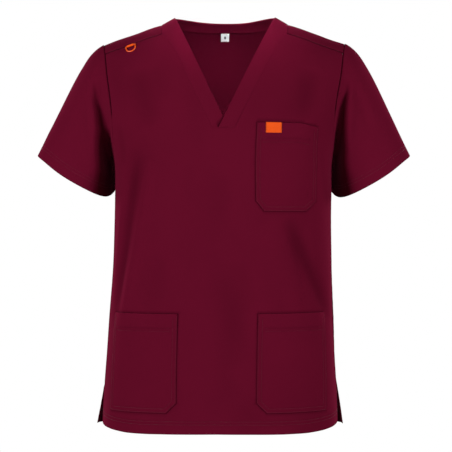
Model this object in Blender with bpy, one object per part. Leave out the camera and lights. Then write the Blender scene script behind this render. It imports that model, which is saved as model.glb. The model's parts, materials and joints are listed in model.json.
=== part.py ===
"""Medical scrub top in plain twill, worn shape with nobody in it.

V neck with a folded band, set-in short sleeves, a forward shoulder seam, three patch pockets and
side vents. The torso's cloth is one surface wrapped from the front hem over the shoulders to the
back hem. A point on it is (across, up): metres across from the centre line and metres up the wrap.
Each flat piece is an outline on that surface, filled with triangles and given the cloth's thickness.
Metres, front to -Y, +Z up, origin level with the highest points of the neck.
"""

import math

import bpy
import numpy as np
from mathutils import Matrix, Vector, geometry

MM = 0.001

# Cloth
CLOTH = 1.2 * MM
BAND_CLOTH = 1.8 * MM
RIBBON = 1.0 * MM
SEAM_GAP = 0.3 * MM
PANEL_GRID = 24 * MM
EDGE_STEP = 20 * MM

# Levels, in millimetres down from the neck points
CHEST_Z = -196.0
UNDERARM_Z = -250.0
VENT_TOP_Z = -636.0
HEM_Z = -703.5
ROLL = 0.004

# Neck, in millimetres from the centre line
NECK_HALF = 86.4
NECK_TIP_Z = -180.0
NECK_BASE_Z = -197.0
NECK_BASE_HALF = 18.9
NECK_LAP = 8.3
NECK_BACK_DROP = 61.0
BAND_WIDTH = 25.0
BAND_BACK_WIDTH = 20.5
BAND_SEAM_HALF = 109.0

# Shoulder arch and girth
ARCH_RUN = 471 * MM
RIM_POWER = 2.5
GIRTH_ASPECT = 0.62
GIRTH_HALF = 195 * MM
VENT_SPREAD = (10 * MM, 15.5 * MM, 22 * MM)    # to the wearer's left, to the right, and back

# Sleeve hem ring
SLEEVE_LEAN = math.radians(30.0)
SLEEVE_TILT = math.radians(10)
SLEEVE_LIFT = (16 * MM, 21)    # the hem's rise under the arm, and how many degrees it spans
SLEEVE_BACK = (14 * MM, 40)    # how far the cloth under the arm lies back, just clear of the trunk
SLEEVE_ROWS = 10

# Pocket mouths stand off the panel by this much in the middle
MOUTH_STAND = 2.2 * MM
MOUTH_REACH = 60 * MM

# Badge ring
RING_AT = (-157.8, -56.2)
RING_WIRE = 1.2 * MM
RING_BAR_HALF = 8.3 * MM
RING_DROP = 13.2 * MM
RING_REST = math.radians(10)
KEEPER_HALF = 5.6 * MM
KEEPER_BORE = 1.55 * MM
KEEPER_FOOT = 5.6 * MM


def table(columns, rows):
    """Named columns of a short table, as arrays."""
    return dict(zip(columns.split(), np.array(rows, float).T))


TORSO = table("z half_width front_depth back_depth centre_x turn power", [
    (-705, 202.0, 129, 120, -8.0, -2.9, 2.65),
    (-609, 197.6, 128, 118, -7.7, -2.9, 2.62),
    (-540, 194.0, 126, 112, -6.5, -2.8, 2.60),
    (-470, 189.6, 123, 106, -5.1, -2.3, 2.53),
    (-400, 187.2, 121, 103, -4.1, -1.6, 2.50),
    (-315, 186.5, 122, 106, -3.5, -0.8, 2.50),
    (-250, 187.0, 122, 110, -3.0, -0.3, 2.50),
    (-215, 193.5, 121, 111, -2.7, -0.1, 2.50),
    (-190, 200.0, 120, 112, -2.5, 0.0, 2.50),
    (-171, 205.0, 120, 112, -2.4, 0.0, 2.50),
    (-120, 215.0, 120, 112, -2.0, 0.0, 2.50),
    (-47, 228.0, 120, 112, -1.0, 0.0, 2.50),
    (15, 234.0, 120, 112, 0.0, 0.0, 2.50),
])

SHOULDER = table("x z", [
    (-40, 9.2), (0, 11), (40, 9.2), (62, 6.4), (86.4, -0.9), (98, -7.6), (109, -13.7), (119, -17),
    (130, -20.7), (150, -28), (171, -35), (192, -42), (208, -48), (235, -61),
])

ARMHOLE_FRONT = table("x z", [
    (203.0, -66), (197.5, -107), (192, -141), (188.6, -170), (186.6, -200), (186.2, -228),
])
ARMHOLE_BACK = table("x z", [
    (205.5, -66), (201.5, -107), (197, -141), (193, -170), (189.5, -200), (187.4, -228),
])

# The band's outer seam in front, from the squared base to the shoulder
BAND_SEAM = table("x z", [
    (18.9, -197), (40, -154), (62, -109), (83.4, -66), (97, -46), (105.5, -34.4),
])
SHOULDER_SEAM = table("x z", [(105.5, -34.4), (154, -50.8), (203, -66)])

# Rise of the hems towards the vents, by the distance short of the side
HEM_RISE = table("short front back", [
    (-110, 0.0, 0.0), (-60, 1.2, 0.0), (-25, 3.4, 0.8), (0, 6.2, 2.4),
])

# Hem rings, both given as on the wearer's right: the centre and half the two widths
SLEEVE_RING = table("side x y z half_width half_depth", [
    (-1, -257.0, 8, -276.1, 76.7, 55),
    (1, -251.7, 8, -276.9, 78.2, 55),
])

# How the cloth leaves the armhole and reaches the hem ring, round the sleeve from its top
SLEEVE = table("turn out down reach end_out end_down end_reach", [
    (0, 0.90, 0.43, 45, 0.447, 0.894, 110),
    (45, 0.80, 0.60, 44, 0.47, 0.88, 95),
    (90, 0.62, 0.75, 40, 0.489, 0.872, 62),
    (140, 0.80, 0.50, 24, 0.36, 0.93, 40),
    (180, 1.00, 0.05, 9, 0.05, 1.00, 20),
])

# Largest folds: side is 1 in front and -1 behind
FOLDS = table("side x z x_end z_end width height", [
    (1, -119, -249, -163, -520, 17, 5.0),
    (1, -152, -235, -178, -470, 15, -4.0),
    (1, 102, -360, 146, -510, 17, -4.5),
    (1, 128, -330, 170, -500, 18, 3.5),
    (1, -150, -95, -120, -200, 22, -2.5),
    (1, 152, -95, 128, -190, 22, -2.5),
    (-1, -120, -200, -150, -500, 24, 4.0),
    (-1, -60, -260, -84, -560, 20, -3.5),
    (-1, 70, -230, 96, -540, 22, -4.0),
    (-1, 128, -210, 156, -480, 24, 4.0),
])

CHEST_POCKET = [(55.3, -189.2), (128, -189.8), (156.8, -195.8), (156.5, -258), (155.6, -319.5),
                (139.5, -336.5), (69.8, -336.5), (55.8, -319)]
LOWER_POCKET = [(66, -505), (176, -505), (180.5, -669), (83, -669), (66, -652)]
TAG = [(69.6, -190.4), (95.4, -190.6), (95.4, -206.6), (69.6, -206.2)]
LABEL_HALF = 7.2 * MM
LABEL_DROP = (2 * MM, 18 * MM)

COLOURS = {
    "wine": (0.106, 0.004, 0.017, 1),
    "orange": (0.80, 0.098, 0.008, 1),
    "white": (0.80, 0.79, 0.77, 1),
}


# ---------------------------------------------------------------- curves

def smooth(xs, ys, samples=400):
    """A smooth curve through a table's rows, as a function of its first column."""
    slope = np.gradient(ys, xs)
    dense = np.linspace(xs[0], xs[-1], samples)
    row = np.clip(np.searchsorted(xs, dense, side="right") - 1, 0, len(xs) - 2)
    span = xs[row + 1] - xs[row]
    t = (dense - xs[row]) / span
    curve = ((1 + 2 * t) * (1 - t) ** 2 * ys[row] + t * (1 - t) ** 2 * span * slope[row]
             + t * t * (3 - 2 * t) * ys[row + 1] + t * t * (t - 1) * span * slope[row + 1])
    return lambda x: np.interp(x, dense, curve)


def path(points, step, closed=False):
    """Evenly spaced points along a line through the given ones, its ends kept."""
    points = np.asarray(points, float)
    if closed:
        points = np.vstack([points, points[:1]])
    run = np.concatenate([[0], np.cumsum(np.linalg.norm(np.diff(points, axis=0), axis=1))])
    count = max(1, round(run[-1] / step))
    at = np.linspace(0, run[-1], count + 1)
    return np.stack([np.interp(at, run, column) for column in points.T], axis=1)


def ease(t):
    t = np.clip(t, 0, 1)
    return t * t * (3 - 2 * t)


# ---------------------------------------------------------------- torso surface

def girth_curve(samples=600):
    """Distance round a section from the centre to the side, and the share of width it reaches."""
    turn = np.linspace(0, math.pi / 2, samples)
    share = np.sin(turn) ** (2 / RIM_POWER)
    depth = GIRTH_ASPECT * np.cos(turn) ** (2 / RIM_POWER)
    run = np.concatenate([[0], np.cumsum(np.hypot(np.diff(share), np.diff(depth)))])
    return run * GIRTH_HALF, share


GIRTH_RUN, GIRTH_SHARE = girth_curve()
SIDE = GIRTH_RUN[-1]
LEVEL = {name: smooth(TORSO["z"] * MM, TORSO[name] * scale) for name, scale in (
    ("half_width", MM), ("front_depth", MM), ("back_depth", MM), ("centre_x", MM),
    ("turn", math.radians(1)), ("power", 1))}
RIDGE = smooth(SHOULDER["x"] * MM, SHOULDER["z"] * MM)
CHEST = CHEST_Z * MM
HEM_FRONT = (HEM_Z - CHEST_Z) * MM
HEM_BACK = ARCH_RUN - HEM_FRONT


def share_of(across):
    return np.sign(across) * np.interp(np.abs(across), GIRTH_RUN, GIRTH_SHARE)


def across_of(share):
    return np.sign(share) * np.interp(np.abs(share), GIRTH_SHARE, GIRTH_RUN)


def bare_torso(across, up):
    """The torso's surface before its folds."""
    across, up = np.broadcast_arrays(np.asarray(across, float), np.asarray(up, float))
    arch = np.clip(up / ARCH_RUN, 0, 1) * math.pi
    share = share_of(across)
    fall = np.minimum(np.minimum(up, ARCH_RUN - up), 0)
    x = share * 0.21
    for _ in range(4):
        z = CHEST + (RIDGE(np.abs(x)) - CHEST) * np.sin(arch) + fall
        x = share * LEVEL["half_width"](z)
    power = LEVEL["power"](z)
    rim = np.maximum(1 - np.abs(share) ** power, 0) ** (1 / power)
    front = LEVEL["front_depth"](z) * rim * np.cos(arch)
    back = LEVEL["back_depth"](z) * rim * np.cos(arch)
    y = -np.where(arch < math.pi / 2, front, back)
    # The back's two lower corners swing out and back below the vents
    edge = ease((np.abs(across) - SIDE + 0.09) / 0.09) ** 2
    swing = edge * ease((VENT_TOP_Z * MM - z) / ((VENT_TOP_Z - HEM_Z) * MM)) * (up > ARCH_RUN / 2)
    x = x + np.where(across > 0, VENT_SPREAD[0], -VENT_SPREAD[1]) * swing
    y = y + VENT_SPREAD[2] * swing
    turn = LEVEL["turn"](z)
    lean = LEVEL["centre_x"](z)
    return np.stack([x * np.cos(turn) - y * np.sin(turn) + lean,
                     x * np.sin(turn) + y * np.cos(turn), z + x * ROLL], axis=-1)


def normals_of(surface, across, up, reach=0.5 * MM):
    left, right = np.maximum(across - reach, -SIDE), np.minimum(across + reach, SIDE)
    along = surface(right, up) - surface(left, up)
    rise = surface(across, up + reach) - surface(across, up - reach)
    normal = np.cross(along, rise)
    return normal / np.linalg.norm(normal, axis=-1, keepdims=True)


def place(x, z, side=1):
    """The surface point seen straight from the front, or from behind, at x and z millimetres."""
    x, z = np.asarray(x, float) * MM, np.asarray(z, float) * MM
    share = x / LEVEL["half_width"](z)
    rise = np.clip((z - CHEST) / (RIDGE(np.abs(x)) - CHEST), -9, 1)
    up = np.where(z < CHEST, z - CHEST, np.arcsin(np.clip(rise, 0, 1)) / math.pi * ARCH_RUN)
    return np.stack([across_of(share), up if side > 0 else ARCH_RUN - up], axis=-1)


def place_all(points, side=1):
    points = np.asarray(points, float)
    return place(points[:, 0], points[:, 1], side)


def fold_height(across, up):
    """How far the folds lift the cloth off the plain surface."""
    total = np.zeros(np.shape(across))
    for side, x, z, x_end, z_end, width, height in zip(*FOLDS.values()):
        start, end = place(x, z, side), place(x_end, z_end, side)
        line = end - start
        offset = np.stack([across - start[0], up - start[1]], axis=-1)
        t = np.clip(offset @ line / (line @ line), 0, 1)
        away = np.linalg.norm(offset - t[..., None] * line, axis=-1) / (width * MM)
        total = total + height * MM * np.exp(-away ** 2) * (1 - np.abs(2 * t - 1) ** 3)
    return total


def torso(across, up):
    """Points of the cloth's middle layer and the outward directions there."""
    bare = bare_torso(across, up)
    normal = normals_of(bare_torso, across, up)
    return bare + normal * fold_height(across, up)[..., None], normal


# ---------------------------------------------------------------- outlines on the surface

def mirrored(points):
    return np.asarray(points)[::-1] * (-1, 1)


def neck_arc(half, drop):
    """From the shoulder's top round the back of the neck to the centre."""
    turn = np.linspace(0, math.pi / 2, 40)
    return np.stack([across_of(half * MM / LEVEL["half_width"](-0.01)) * np.cos(turn) ** 0.85,
                     ARCH_RUN / 2 + drop * MM * np.sin(turn) ** 0.85], axis=1)


def armhole(columns, side, start):
    rows = place(columns["x"], columns["z"], side)
    under = (HEM_FRONT - (HEM_Z - UNDERARM_Z) * MM)
    under = under if side > 0 else ARCH_RUN - under
    return np.vstack([start, rows, [[SIDE, under]]])


def seams():
    """The lines that neighbouring pieces share, on the wearer's left, as points on the surface."""
    shoulder = path(place_all(np.stack([SHOULDER_SEAM["x"], SHOULDER_SEAM["z"]], 1)), EDGE_STEP)
    top = [[across_of(208 * MM / LEVEL["half_width"](-0.047)), ARCH_RUN / 2]]
    behind = armhole(ARMHOLE_BACK, -1, top)
    before = armhole(ARMHOLE_FRONT, 1, top)
    rows = np.stack([BAND_SEAM["x"], BAND_SEAM["z"]], 1)
    x = smooth(rows[:, 1], rows[:, 0])
    z = np.linspace(rows[0, 1], rows[-1, 1], 60)
    band_front = path(place(x(z), z), EDGE_STEP * 0.8)
    back = neck_arc(BAND_SEAM_HALF, NECK_BACK_DROP + BAND_BACK_WIDTH)
    band_back = path(np.vstack([band_front[-1:], back]), EDGE_STEP * 0.8)
    return {
        "shoulder": shoulder,
        "arm_front": path(before[1:], EDGE_STEP),
        "arm_top": path(np.vstack([before[1:2], top]), EDGE_STEP),
        "arm_back": path(behind, EDGE_STEP),
        "band_front": band_front,
        "band_back": band_back,
    }


def inset(outline, gap):
    """A closed outline, anticlockwise, moved inward by gap."""
    before, after = np.roll(outline, 1, axis=0), np.roll(outline, -1, axis=0)
    first, second = outline - before, after - outline
    first /= np.linalg.norm(first, axis=1, keepdims=True)
    second /= np.linalg.norm(second, axis=1, keepdims=True)
    inward = np.stack([-(first + second)[:, 1], (first + second)[:, 0]], axis=1)
    inward /= np.linalg.norm(inward, axis=1, keepdims=True)
    stretch = np.maximum(np.abs(first[:, 0] * inward[:, 1] - first[:, 1] * inward[:, 0]), 0.4)
    return outline + inward * gap / stretch[:, None]


def edge_distance(points, outline):
    """Distance of each point from the nearest side of a closed outline."""
    nearest = np.full(len(points), np.inf)
    for a, b in zip(outline, np.roll(outline, -1, axis=0)):
        side = b - a
        t = np.clip((points - a) @ side / max(side @ side, 1e-12), 0, 1)
        nearest = np.minimum(nearest, np.linalg.norm(points - a - t[:, None] * side, axis=1))
    return nearest


def inside(points, outline):
    hit = np.zeros(len(points), bool)
    for a, b in zip(outline, np.roll(outline, -1, axis=0)):
        crosses = (a[1] > points[:, 1]) != (b[1] > points[:, 1])
        rise = b[1] - a[1] if b[1] != a[1] else 1e-12
        hit ^= crosses & (points[:, 0] < a[0] + (points[:, 1] - a[1]) / rise * (b[0] - a[0]))
    return hit


def fill(outline, patches, grid):
    """Triangles inside an outline, with each patch's outline kept as edges of the triangles."""
    low, high = outline.min(axis=0), outline.max(axis=0)
    rows = np.arange(low[1], high[1], grid * 0.87)
    points = [(x + (i % 2) * grid / 2, y) for i, y in enumerate(rows)
              for x in np.arange(low[0] + grid / 4, high[0], grid)]
    points = np.array(points)
    keep = inside(points, outline) & (edge_distance(points, outline) > 0.5 * grid)
    for patch in patches:
        keep &= edge_distance(points, patch) > 0.4 * grid
    flat, links = [tuple(p) for p in outline], []
    for patch in patches:
        first = len(flat)
        flat += [tuple(p) for p in patch]
        links += [(first + i, first + (i + 1) % len(patch)) for i in range(len(patch))]
    flat += [tuple(p) for p in points[keep]]
    found = geometry.delaunay_2d_cdt([Vector(p) for p in flat], links,
                                     [list(range(len(outline)))], 1, 1e-7)
    return np.array([tuple(p) for p in found[0]]), [tuple(face) for face in found[2]]


def within(flat, faces, outline):
    """The triangles whose middles lie in an outline, with their own numbering."""
    middles = np.array([flat[list(face)].mean(axis=0) for face in faces])
    chosen = [face for face, hit in zip(faces, inside(middles, outline)) if hit]
    used = sorted({corner for face in chosen for corner in face})
    number = {old: new for new, old in enumerate(used)}
    return flat[used], [tuple(number[corner] for corner in face) for face in chosen]


# ---------------------------------------------------------------- solids

def material(name):
    made = bpy.data.materials.new(name)
    made.use_nodes = True
    shader = made.node_tree.nodes["Principled BSDF"]
    shader.inputs["Base Color"].default_value = COLOURS[name.split(".")[0]]
    shader.inputs["Roughness"].default_value = 0.85
    shader.inputs["Metallic"].default_value = 0.0
    return made


def solid(name, points, faces, colour):
    mesh = bpy.data.meshes.new(name)
    mesh.from_pydata([tuple(p) for p in points], [], faces)
    mesh.validate()
    mesh.shade_smooth()
    mesh.set_sharp_from_angle(angle=math.radians(50))
    mesh.materials.append(material(f"{colour}.{name}"))
    made = bpy.data.objects.new(name, mesh)
    bpy.context.scene.collection.objects.link(made)
    return made


def wall(name, outer, inner, faces, colour):
    """A closed wall between two layers of the same triangles or quads."""
    count = len(outer)
    sides = {}
    for face in faces:
        for a, b in zip(face, face[1:] + face[:1]):
            sides[(a, b)] = True
    rim = [(b, a, a + count, b + count) for a, b in sides if (b, a) not in sides]
    back = [tuple(corner + count for corner in reversed(face)) for face in faces]
    return solid(name, np.vstack([outer, inner]), list(faces) + back + rim, colour)


def panel(name, flat, faces, colour, low=-CLOTH / 2, high=CLOTH / 2):
    """A wall on the torso's surface between two heights off its middle layer."""
    points, normal = torso(flat[:, 0], flat[:, 1])
    low, high = (np.broadcast_to(v, len(flat))[:, None] for v in (low, high))
    return wall(name, points + normal * high, points + normal * low, faces, colour)


def tube(name, rings, outward, colour, thickness=CLOTH):
    """A hollow tube of cloth through closed rings of points."""
    rows, columns = rings.shape[:2]
    faces = [(r * columns + c, (r + 1) * columns + c,
              (r + 1) * columns + (c + 1) % columns, r * columns + (c + 1) % columns)
             for r in range(rows - 1) for c in range(columns)]
    points, normal = rings.reshape(-1, 3), outward.reshape(-1, 3)
    return wall(name, points + normal * thickness / 2, points - normal * thickness / 2, faces, colour)


# ---------------------------------------------------------------- pieces

def hem_line(level, side):
    """From the centre of a hem to its vent, where the hem rises a little."""
    rise = HEM_RISE["front" if side > 0 else "back"]
    corners = np.stack([SIDE + HEM_RISE["short"] * MM, level + side * rise * MM], axis=1)
    return path(np.vstack([(0, level), corners]), EDGE_STEP)


def front_outline(seam):
    half = np.vstack([seam["arm_front"][::-1], seam["shoulder"][::-1][1:], seam["band_front"][::-1][1:]])
    hem = hem_line(HEM_FRONT, 1)
    side = path([hem[-1], half[0]], EDGE_STEP)
    right = np.vstack([hem[1:], side[1:], half[1:]])
    return np.vstack([right, mirrored(right), hem[:1]])


def back_outline(seam):
    half = np.vstack([seam["arm_back"][::-1], seam["arm_top"][::-1][1:], seam["shoulder"][::-1][1:],
                      seam["band_back"][1:]])
    hem = hem_line(HEM_BACK, -1)
    side = path([hem[-1], half[0]], EDGE_STEP)
    right = np.vstack([hem[1:], side[1:], half[1:-1]])
    centre = seam["band_back"][-1:]
    return np.vstack([right, centre, mirrored(right), hem[:1]])[::-1]


def patch_outline(corners, side=1, mirror=False):
    """A pocket or ribbon outline, anticlockwise, with points along its straight sides."""
    corners = place_all(corners, side)
    if mirror:
        corners = corners * (-1, 1)
    ends = np.roll(corners, -1, axis=0)
    runs = [path([a, b], EDGE_STEP)[:-1] for a, b in zip(corners, ends)]
    loop = np.vstack(runs)
    ahead = np.roll(loop, -1, axis=0)
    area = np.sum(loop[:, 0] * ahead[:, 1] - ahead[:, 0] * loop[:, 1])
    return loop if area > 0 else loop[::-1]


def mouth_stand(flat, outline):
    """How far a pocket's cloth stands off at its open top edge."""
    left, right = outline[:, 0].min(), outline[:, 0].max()
    top = outline[:, 1].max()
    share = np.clip(2 * (flat[:, 0] - left) / (right - left) - 1, -1, 1)
    return MOUTH_STAND * (1 - share ** 6) * ease(1 - (top - flat[:, 1]) / MOUTH_REACH)


def build_front(seam):
    chest = patch_outline(CHEST_POCKET)
    tag = patch_outline(TAG)
    left, right = patch_outline(LOWER_POCKET), patch_outline(LOWER_POCKET, mirror=True)
    flat, faces = fill(inset(front_outline(seam), SEAM_GAP / 2), [chest, left, right, tag], PANEL_GRID)
    panel("front_panel", flat, faces, "wine")
    base = CLOTH / 2 + SEAM_GAP
    for name, outline in (("chest_pocket", chest), ("lower_pocket_left", left),
                          ("lower_pocket_right", right)):
        points, chosen = within(flat, faces, outline)
        low = base + mouth_stand(points, outline)
        panel(name, points, chosen, "wine", low, low + CLOTH)
    points, chosen = within(flat, faces, tag)
    low = base + mouth_stand(points, chest) + CLOTH + SEAM_GAP
    panel("pocket_tag", points, chosen, "orange", low, low + RIBBON)


def build_back(seam):
    top = seam["band_back"][-1][1] + LABEL_DROP[0]
    low = top + LABEL_DROP[1]
    label = path([(-LABEL_HALF, low), (-LABEL_HALF, top), (LABEL_HALF, top), (LABEL_HALF, low)][::-1],
                 LABEL_HALF, closed=True)[:-1]
    flat, faces = fill(inset(back_outline(seam), SEAM_GAP / 2), [label], PANEL_GRID)
    panel("back_panel", flat, faces, "wine")
    points, chosen = within(flat, faces, label)
    high = -CLOTH / 2 - SEAM_GAP
    panel("size_label", points, chosen, "white", high - RIBBON, high)


def build_band(seam):
    """One strip round the neck. Its wearer's-left end is laid across the other at the V."""
    outer = np.vstack([seam["band_front"], seam["band_back"][1:]])
    turn = len(seam["band_front"])
    tip = [(-NECK_LAP, NECK_BASE_Z), (0, NECK_TIP_Z)]
    z = np.linspace(NECK_TIP_Z, 0, 80)[1:]
    rise = place((z - NECK_TIP_Z) / -NECK_TIP_Z * NECK_HALF, z)
    arc = neck_arc(NECK_HALF, NECK_BACK_DROP)
    split = np.searchsorted(rise[:, 1], place(105.5, -34.4)[1])
    front_run, back_run = rise[:split + 1], np.vstack([rise[split:-1], arc])
    left_in = np.vstack([spread(np.vstack([place_all(tip), front_run]), turn),
                         spread(back_run, len(outer) - turn + 1)[1:]])
    right_in = np.vstack([spread(np.vstack([place_all(tip[1:]), front_run]), turn),
                          spread(back_run, len(outer) - turn + 1)[1:]])
    share = np.linspace(0, 1, 4)[None, :, None]
    left = left_in[:, None] * (1 - share) + outer[:, None] * share
    right = right_in[:, None] * (1 - share) + outer[:, None] * share
    end = place_all([(0, NECK_TIP_Z), (NECK_LAP, NECK_BASE_Z), (13.6, NECK_BASE_Z),
                     (NECK_BASE_HALF, NECK_BASE_Z)])
    right[0] = end
    # The two ends keep a seam's gap along the line where one crosses the other
    left[0, 0] += (SEAM_GAP / 2, 0)
    left[1, 0] += (SEAM_GAP / 2, 0)
    right[0, :2] += (SEAM_GAP / 2, 0)
    gap = np.zeros_like(left)
    gap[:, -1, 0] = -SEAM_GAP / 2
    gap[0, :, 1] = SEAM_GAP / 2
    left, right = left + gap, right + gap
    strip = np.vstack([left, (right * (-1, 1))[::-1][1:]])
    rows, columns = strip.shape[:2]
    faces = [(r * columns + c, r * columns + c + 1, (r + 1) * columns + c + 1, (r + 1) * columns + c)
             for r in range(rows - 1) for c in range(columns - 1)]
    panel("neckband", strip.reshape(-1, 2), faces, "wine", -BAND_CLOTH / 2, BAND_CLOTH / 2)


def spread(points, count):
    """A given number of evenly spaced points along a line."""
    run = np.concatenate([[0], np.cumsum(np.linalg.norm(np.diff(points, axis=0), axis=1))])
    at = np.linspace(0, run[-1], count)
    return np.stack([np.interp(at, run, column) for column in points.T], axis=1)


def unit(vectors):
    return vectors / np.linalg.norm(vectors, axis=-1, keepdims=True)


def build_sleeve(seam, name, sign):
    """A short sleeve from the armhole to its hem ring, for the wearer's right, mirrored for the left."""
    loop = np.vstack([seam["arm_top"][::-1][:-1], seam["arm_front"], seam["arm_back"][::-1][1:-1]])
    loop = loop * (-1, 1)
    points, normal = torso(sign * -loop[:, 0], loop[:, 1])
    if sign > 0:
        points, normal = points * (-1, 1, 1), normal * (-1, 1, 1)
    ahead, behind = np.roll(points, -1, axis=0), np.roll(points, 1, axis=0)
    edge = unit(ahead - behind)
    out = unit(np.cross(edge, normal))
    under = len(seam["arm_top"]) + len(seam["arm_front"]) - 2
    step = np.linalg.norm(ahead - points, axis=1)
    front_run = np.concatenate([[0], np.cumsum(step[:under])])
    back_run = np.concatenate([[0], np.cumsum(step[under:])])
    turn = np.concatenate([180 * front_run[:-1] / front_run[-1],
                           180 + 180 * back_run[:-1] / back_run[-1]])
    column = {key: smooth(SLEEVE["turn"], SLEEVE[key]) for key in SLEEVE if key != "turn"}
    fold = np.where(turn > 180, 360 - turn, turn)
    leave = unit(np.stack([-column["out"](fold), 0 * fold, -column["down"](fold)], axis=1))
    arrive = unit(np.stack([-column["end_out"](fold), 0 * fold, -column["end_down"](fold)], axis=1))
    axis = np.array([-math.sin(SLEEVE_LEAN), 0, -math.cos(SLEEVE_LEAN)])
    inward = np.array([math.cos(SLEEVE_LEAN), 0, -math.sin(SLEEVE_LEAN)])
    forward = np.array([0, -math.cos(SLEEVE_TILT), 0]) + axis * math.sin(SLEEVE_TILT)
    angle = np.radians(turn)[:, None]
    size = {key: values[SLEEVE_RING["side"] == sign][0] * MM for key, values in SLEEVE_RING.items()}
    ring = (np.array([size["x"], size["y"], size["z"]])
            - inward * size["half_width"] * np.cos(angle) + forward * size["half_depth"] * np.sin(angle))
    ring[:, 1] += SLEEVE_BACK[0] * np.exp(-((180 - fold) / SLEEVE_BACK[1]) ** 2)
    ring[:, 2] += SLEEVE_LIFT[0] * np.exp(-((180 - fold) / SLEEVE_LIFT[1]) ** 2)
    start = points + out * SEAM_GAP * 0.6
    for _ in range(3):
        one = start + leave * column["reach"](fold)[:, None] * MM
        two = ring - arrive * column["end_reach"](fold)[:, None] * MM
        rise = np.linspace(0, 1, SLEEVE_ROWS + 1)[:, None, None] ** 1.25
        rings = (start * (1 - rise) ** 3 + 3 * one * rise * (1 - rise) ** 2
                 + 3 * two * rise ** 2 * (1 - rise) + ring * rise ** 3)
        along = np.gradient(rings, axis=0)
        round_ = np.roll(rings, -1, axis=1) - np.roll(rings, 1, axis=1)
        facing = unit(np.cross(round_, along))
        bend = np.abs(np.sum(facing[0] * out, axis=1, keepdims=True))
        start = points + out * (SEAM_GAP * 0.6 + CLOTH / 2 * bend)
    if np.sum(facing[0] * (rings[0] - rings[0].mean(axis=0))) < 0:
        facing = -facing
    if sign > 0:
        rings, facing = rings * (-1, 1, 1), facing * (-1, 1, 1)
        rings, facing = rings[:, ::-1], facing[:, ::-1]
    return tube(name, rings, facing, "wine")


# ---------------------------------------------------------------- badge ring and its keeper

def ring_frame():
    """Origin on the bar, and the bar's, the downhill and the outward directions."""
    flat = place(-RING_AT[0], RING_AT[1]) * (-1, 1)
    point, normal = torso(flat[0], flat[1])
    ends = [torso(f[0], f[1])[0] for f in (place(-RING_AT[0] + 8, RING_AT[1] - 2.63) * (-1, 1),
                                         place(-RING_AT[0] - 8, RING_AT[1] + 2.63) * (-1, 1))]
    along = unit(ends[1] - ends[0])
    along = unit(along - normal * (along @ normal))
    down = np.cross(along, normal)
    if down[2] > 0:
        down = -down
    lift = CLOTH / 2 + SEAM_GAP + RIBBON + KEEPER_BORE
    return point + normal * lift, along, down, normal


def build_ring(origin, along, down, normal):
    """A D-shaped wire: a straight bar and a round bow."""
    turn = np.linspace(0, math.pi, 17)
    bow = np.stack([RING_BAR_HALF * np.cos(turn) ** 1, RING_DROP * np.sin(turn) ** 0.8], axis=1)
    bar = np.stack([np.linspace(-RING_BAR_HALF, RING_BAR_HALF, 7)[1:-1], np.zeros(5)], axis=1)
    line = np.vstack([bow, bar])
    count, sides = len(line), 8
    direction = unit(np.roll(line, -1, axis=0) - np.roll(line, 1, axis=0))
    across = np.stack([direction[:, 1], -direction[:, 0]], axis=1)
    points = []
    for centre, off in zip(line, across):
        for i in range(sides):
            a = 2 * math.pi * (i + 0.5) / sides
            lie = centre + off * RING_WIRE * math.cos(a)
            points.append((lie[0], lie[1], RING_WIRE * math.sin(a)))
    faces = [(r * sides + s, (r + 1) % count * sides + s,
              (r + 1) % count * sides + (s + 1) % sides, r * sides + (s + 1) % sides)
             for r in range(count) for s in range(sides)]
    ring = solid("badge_ring", np.array(points), faces, "orange")
    tilt = down * math.cos(RING_REST) - normal * math.sin(RING_REST)
    up = np.cross(along, tilt)
    basis = np.stack([along, tilt, up], axis=1)
    matrix = np.eye(4)
    matrix[:3, :3], matrix[:3, 3] = basis, origin
    ring.matrix_world = Matrix([list(row) for row in matrix])
    return ring


def build_keeper(origin, along, down, normal):
    """A ribbon folded round the bar, with both its ends in the shoulder seam."""
    outside = KEEPER_BORE + RIBBON
    turn = np.radians(np.arange(16) * 22.5 - 90)
    bore = np.stack([np.cos(turn), np.sin(turn)], axis=1) * KEEPER_BORE
    rim = np.stack([np.cos(turn), np.sin(turn)], axis=1) * outside
    rim[12:] = [(-KEEPER_FOOT, 2 * RIBBON - outside), (-KEEPER_FOOT, RIBBON - outside),
                (-KEEPER_FOOT, -outside), (-KEEPER_FOOT / 2, -outside)]
    points, faces = [], []
    for shift in (-KEEPER_HALF, KEEPER_HALF):
        for profile in (rim, bore):
            points += [origin + along * shift + down * d + normal * n for d, n in profile]
    count = len(turn)
    for i in range(count):
        j = (i + 1) % count
        rim_near, bore_near, rim_far, bore_far = 0, count, 2 * count, 3 * count
        faces += [(rim_near + j, rim_near + i, rim_far + i, rim_far + j),
                  (bore_near + i, bore_near + j, bore_far + j, bore_far + i),
                  (rim_near + i, rim_near + j, bore_near + j, bore_near + i),
                  (rim_far + j, rim_far + i, bore_far + i, bore_far + j)]
    return solid("ring_keeper", np.array(points), faces, "orange")


def main():
    for old in list(bpy.data.objects):
        bpy.data.objects.remove(old, do_unlink=True)
    seam = seams()
    build_front(seam)
    build_back(seam)
    build_band(seam)
    build_sleeve(seam, "sleeve_right", -1)
    build_sleeve(seam, "sleeve_left", 1)
    build_ring(*ring_frame())
    build_keeper(*ring_frame())


if __name__ == "__main__":
    main()
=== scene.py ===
"""Medical scrub top in wine twill, filled out with nobody in it, made as a tailor makes it.

The torso's cloth is one surface wrapped from the front hem over the shoulders to the back hem. A
point on it is (across, up): metres across from the centre line and metres up the wrap. Panels,
pockets, band and ribbons are outlines on that surface, cut finely enough for their turned edges,
sunk seams and rows of stitches. Metres, front to -Y, +Z up.
"""

import json
import math

import bpy
import numpy as np
from bpy.props import FloatProperty, FloatVectorProperty, PointerProperty
from mathutils import Matrix, Vector, geometry


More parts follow.
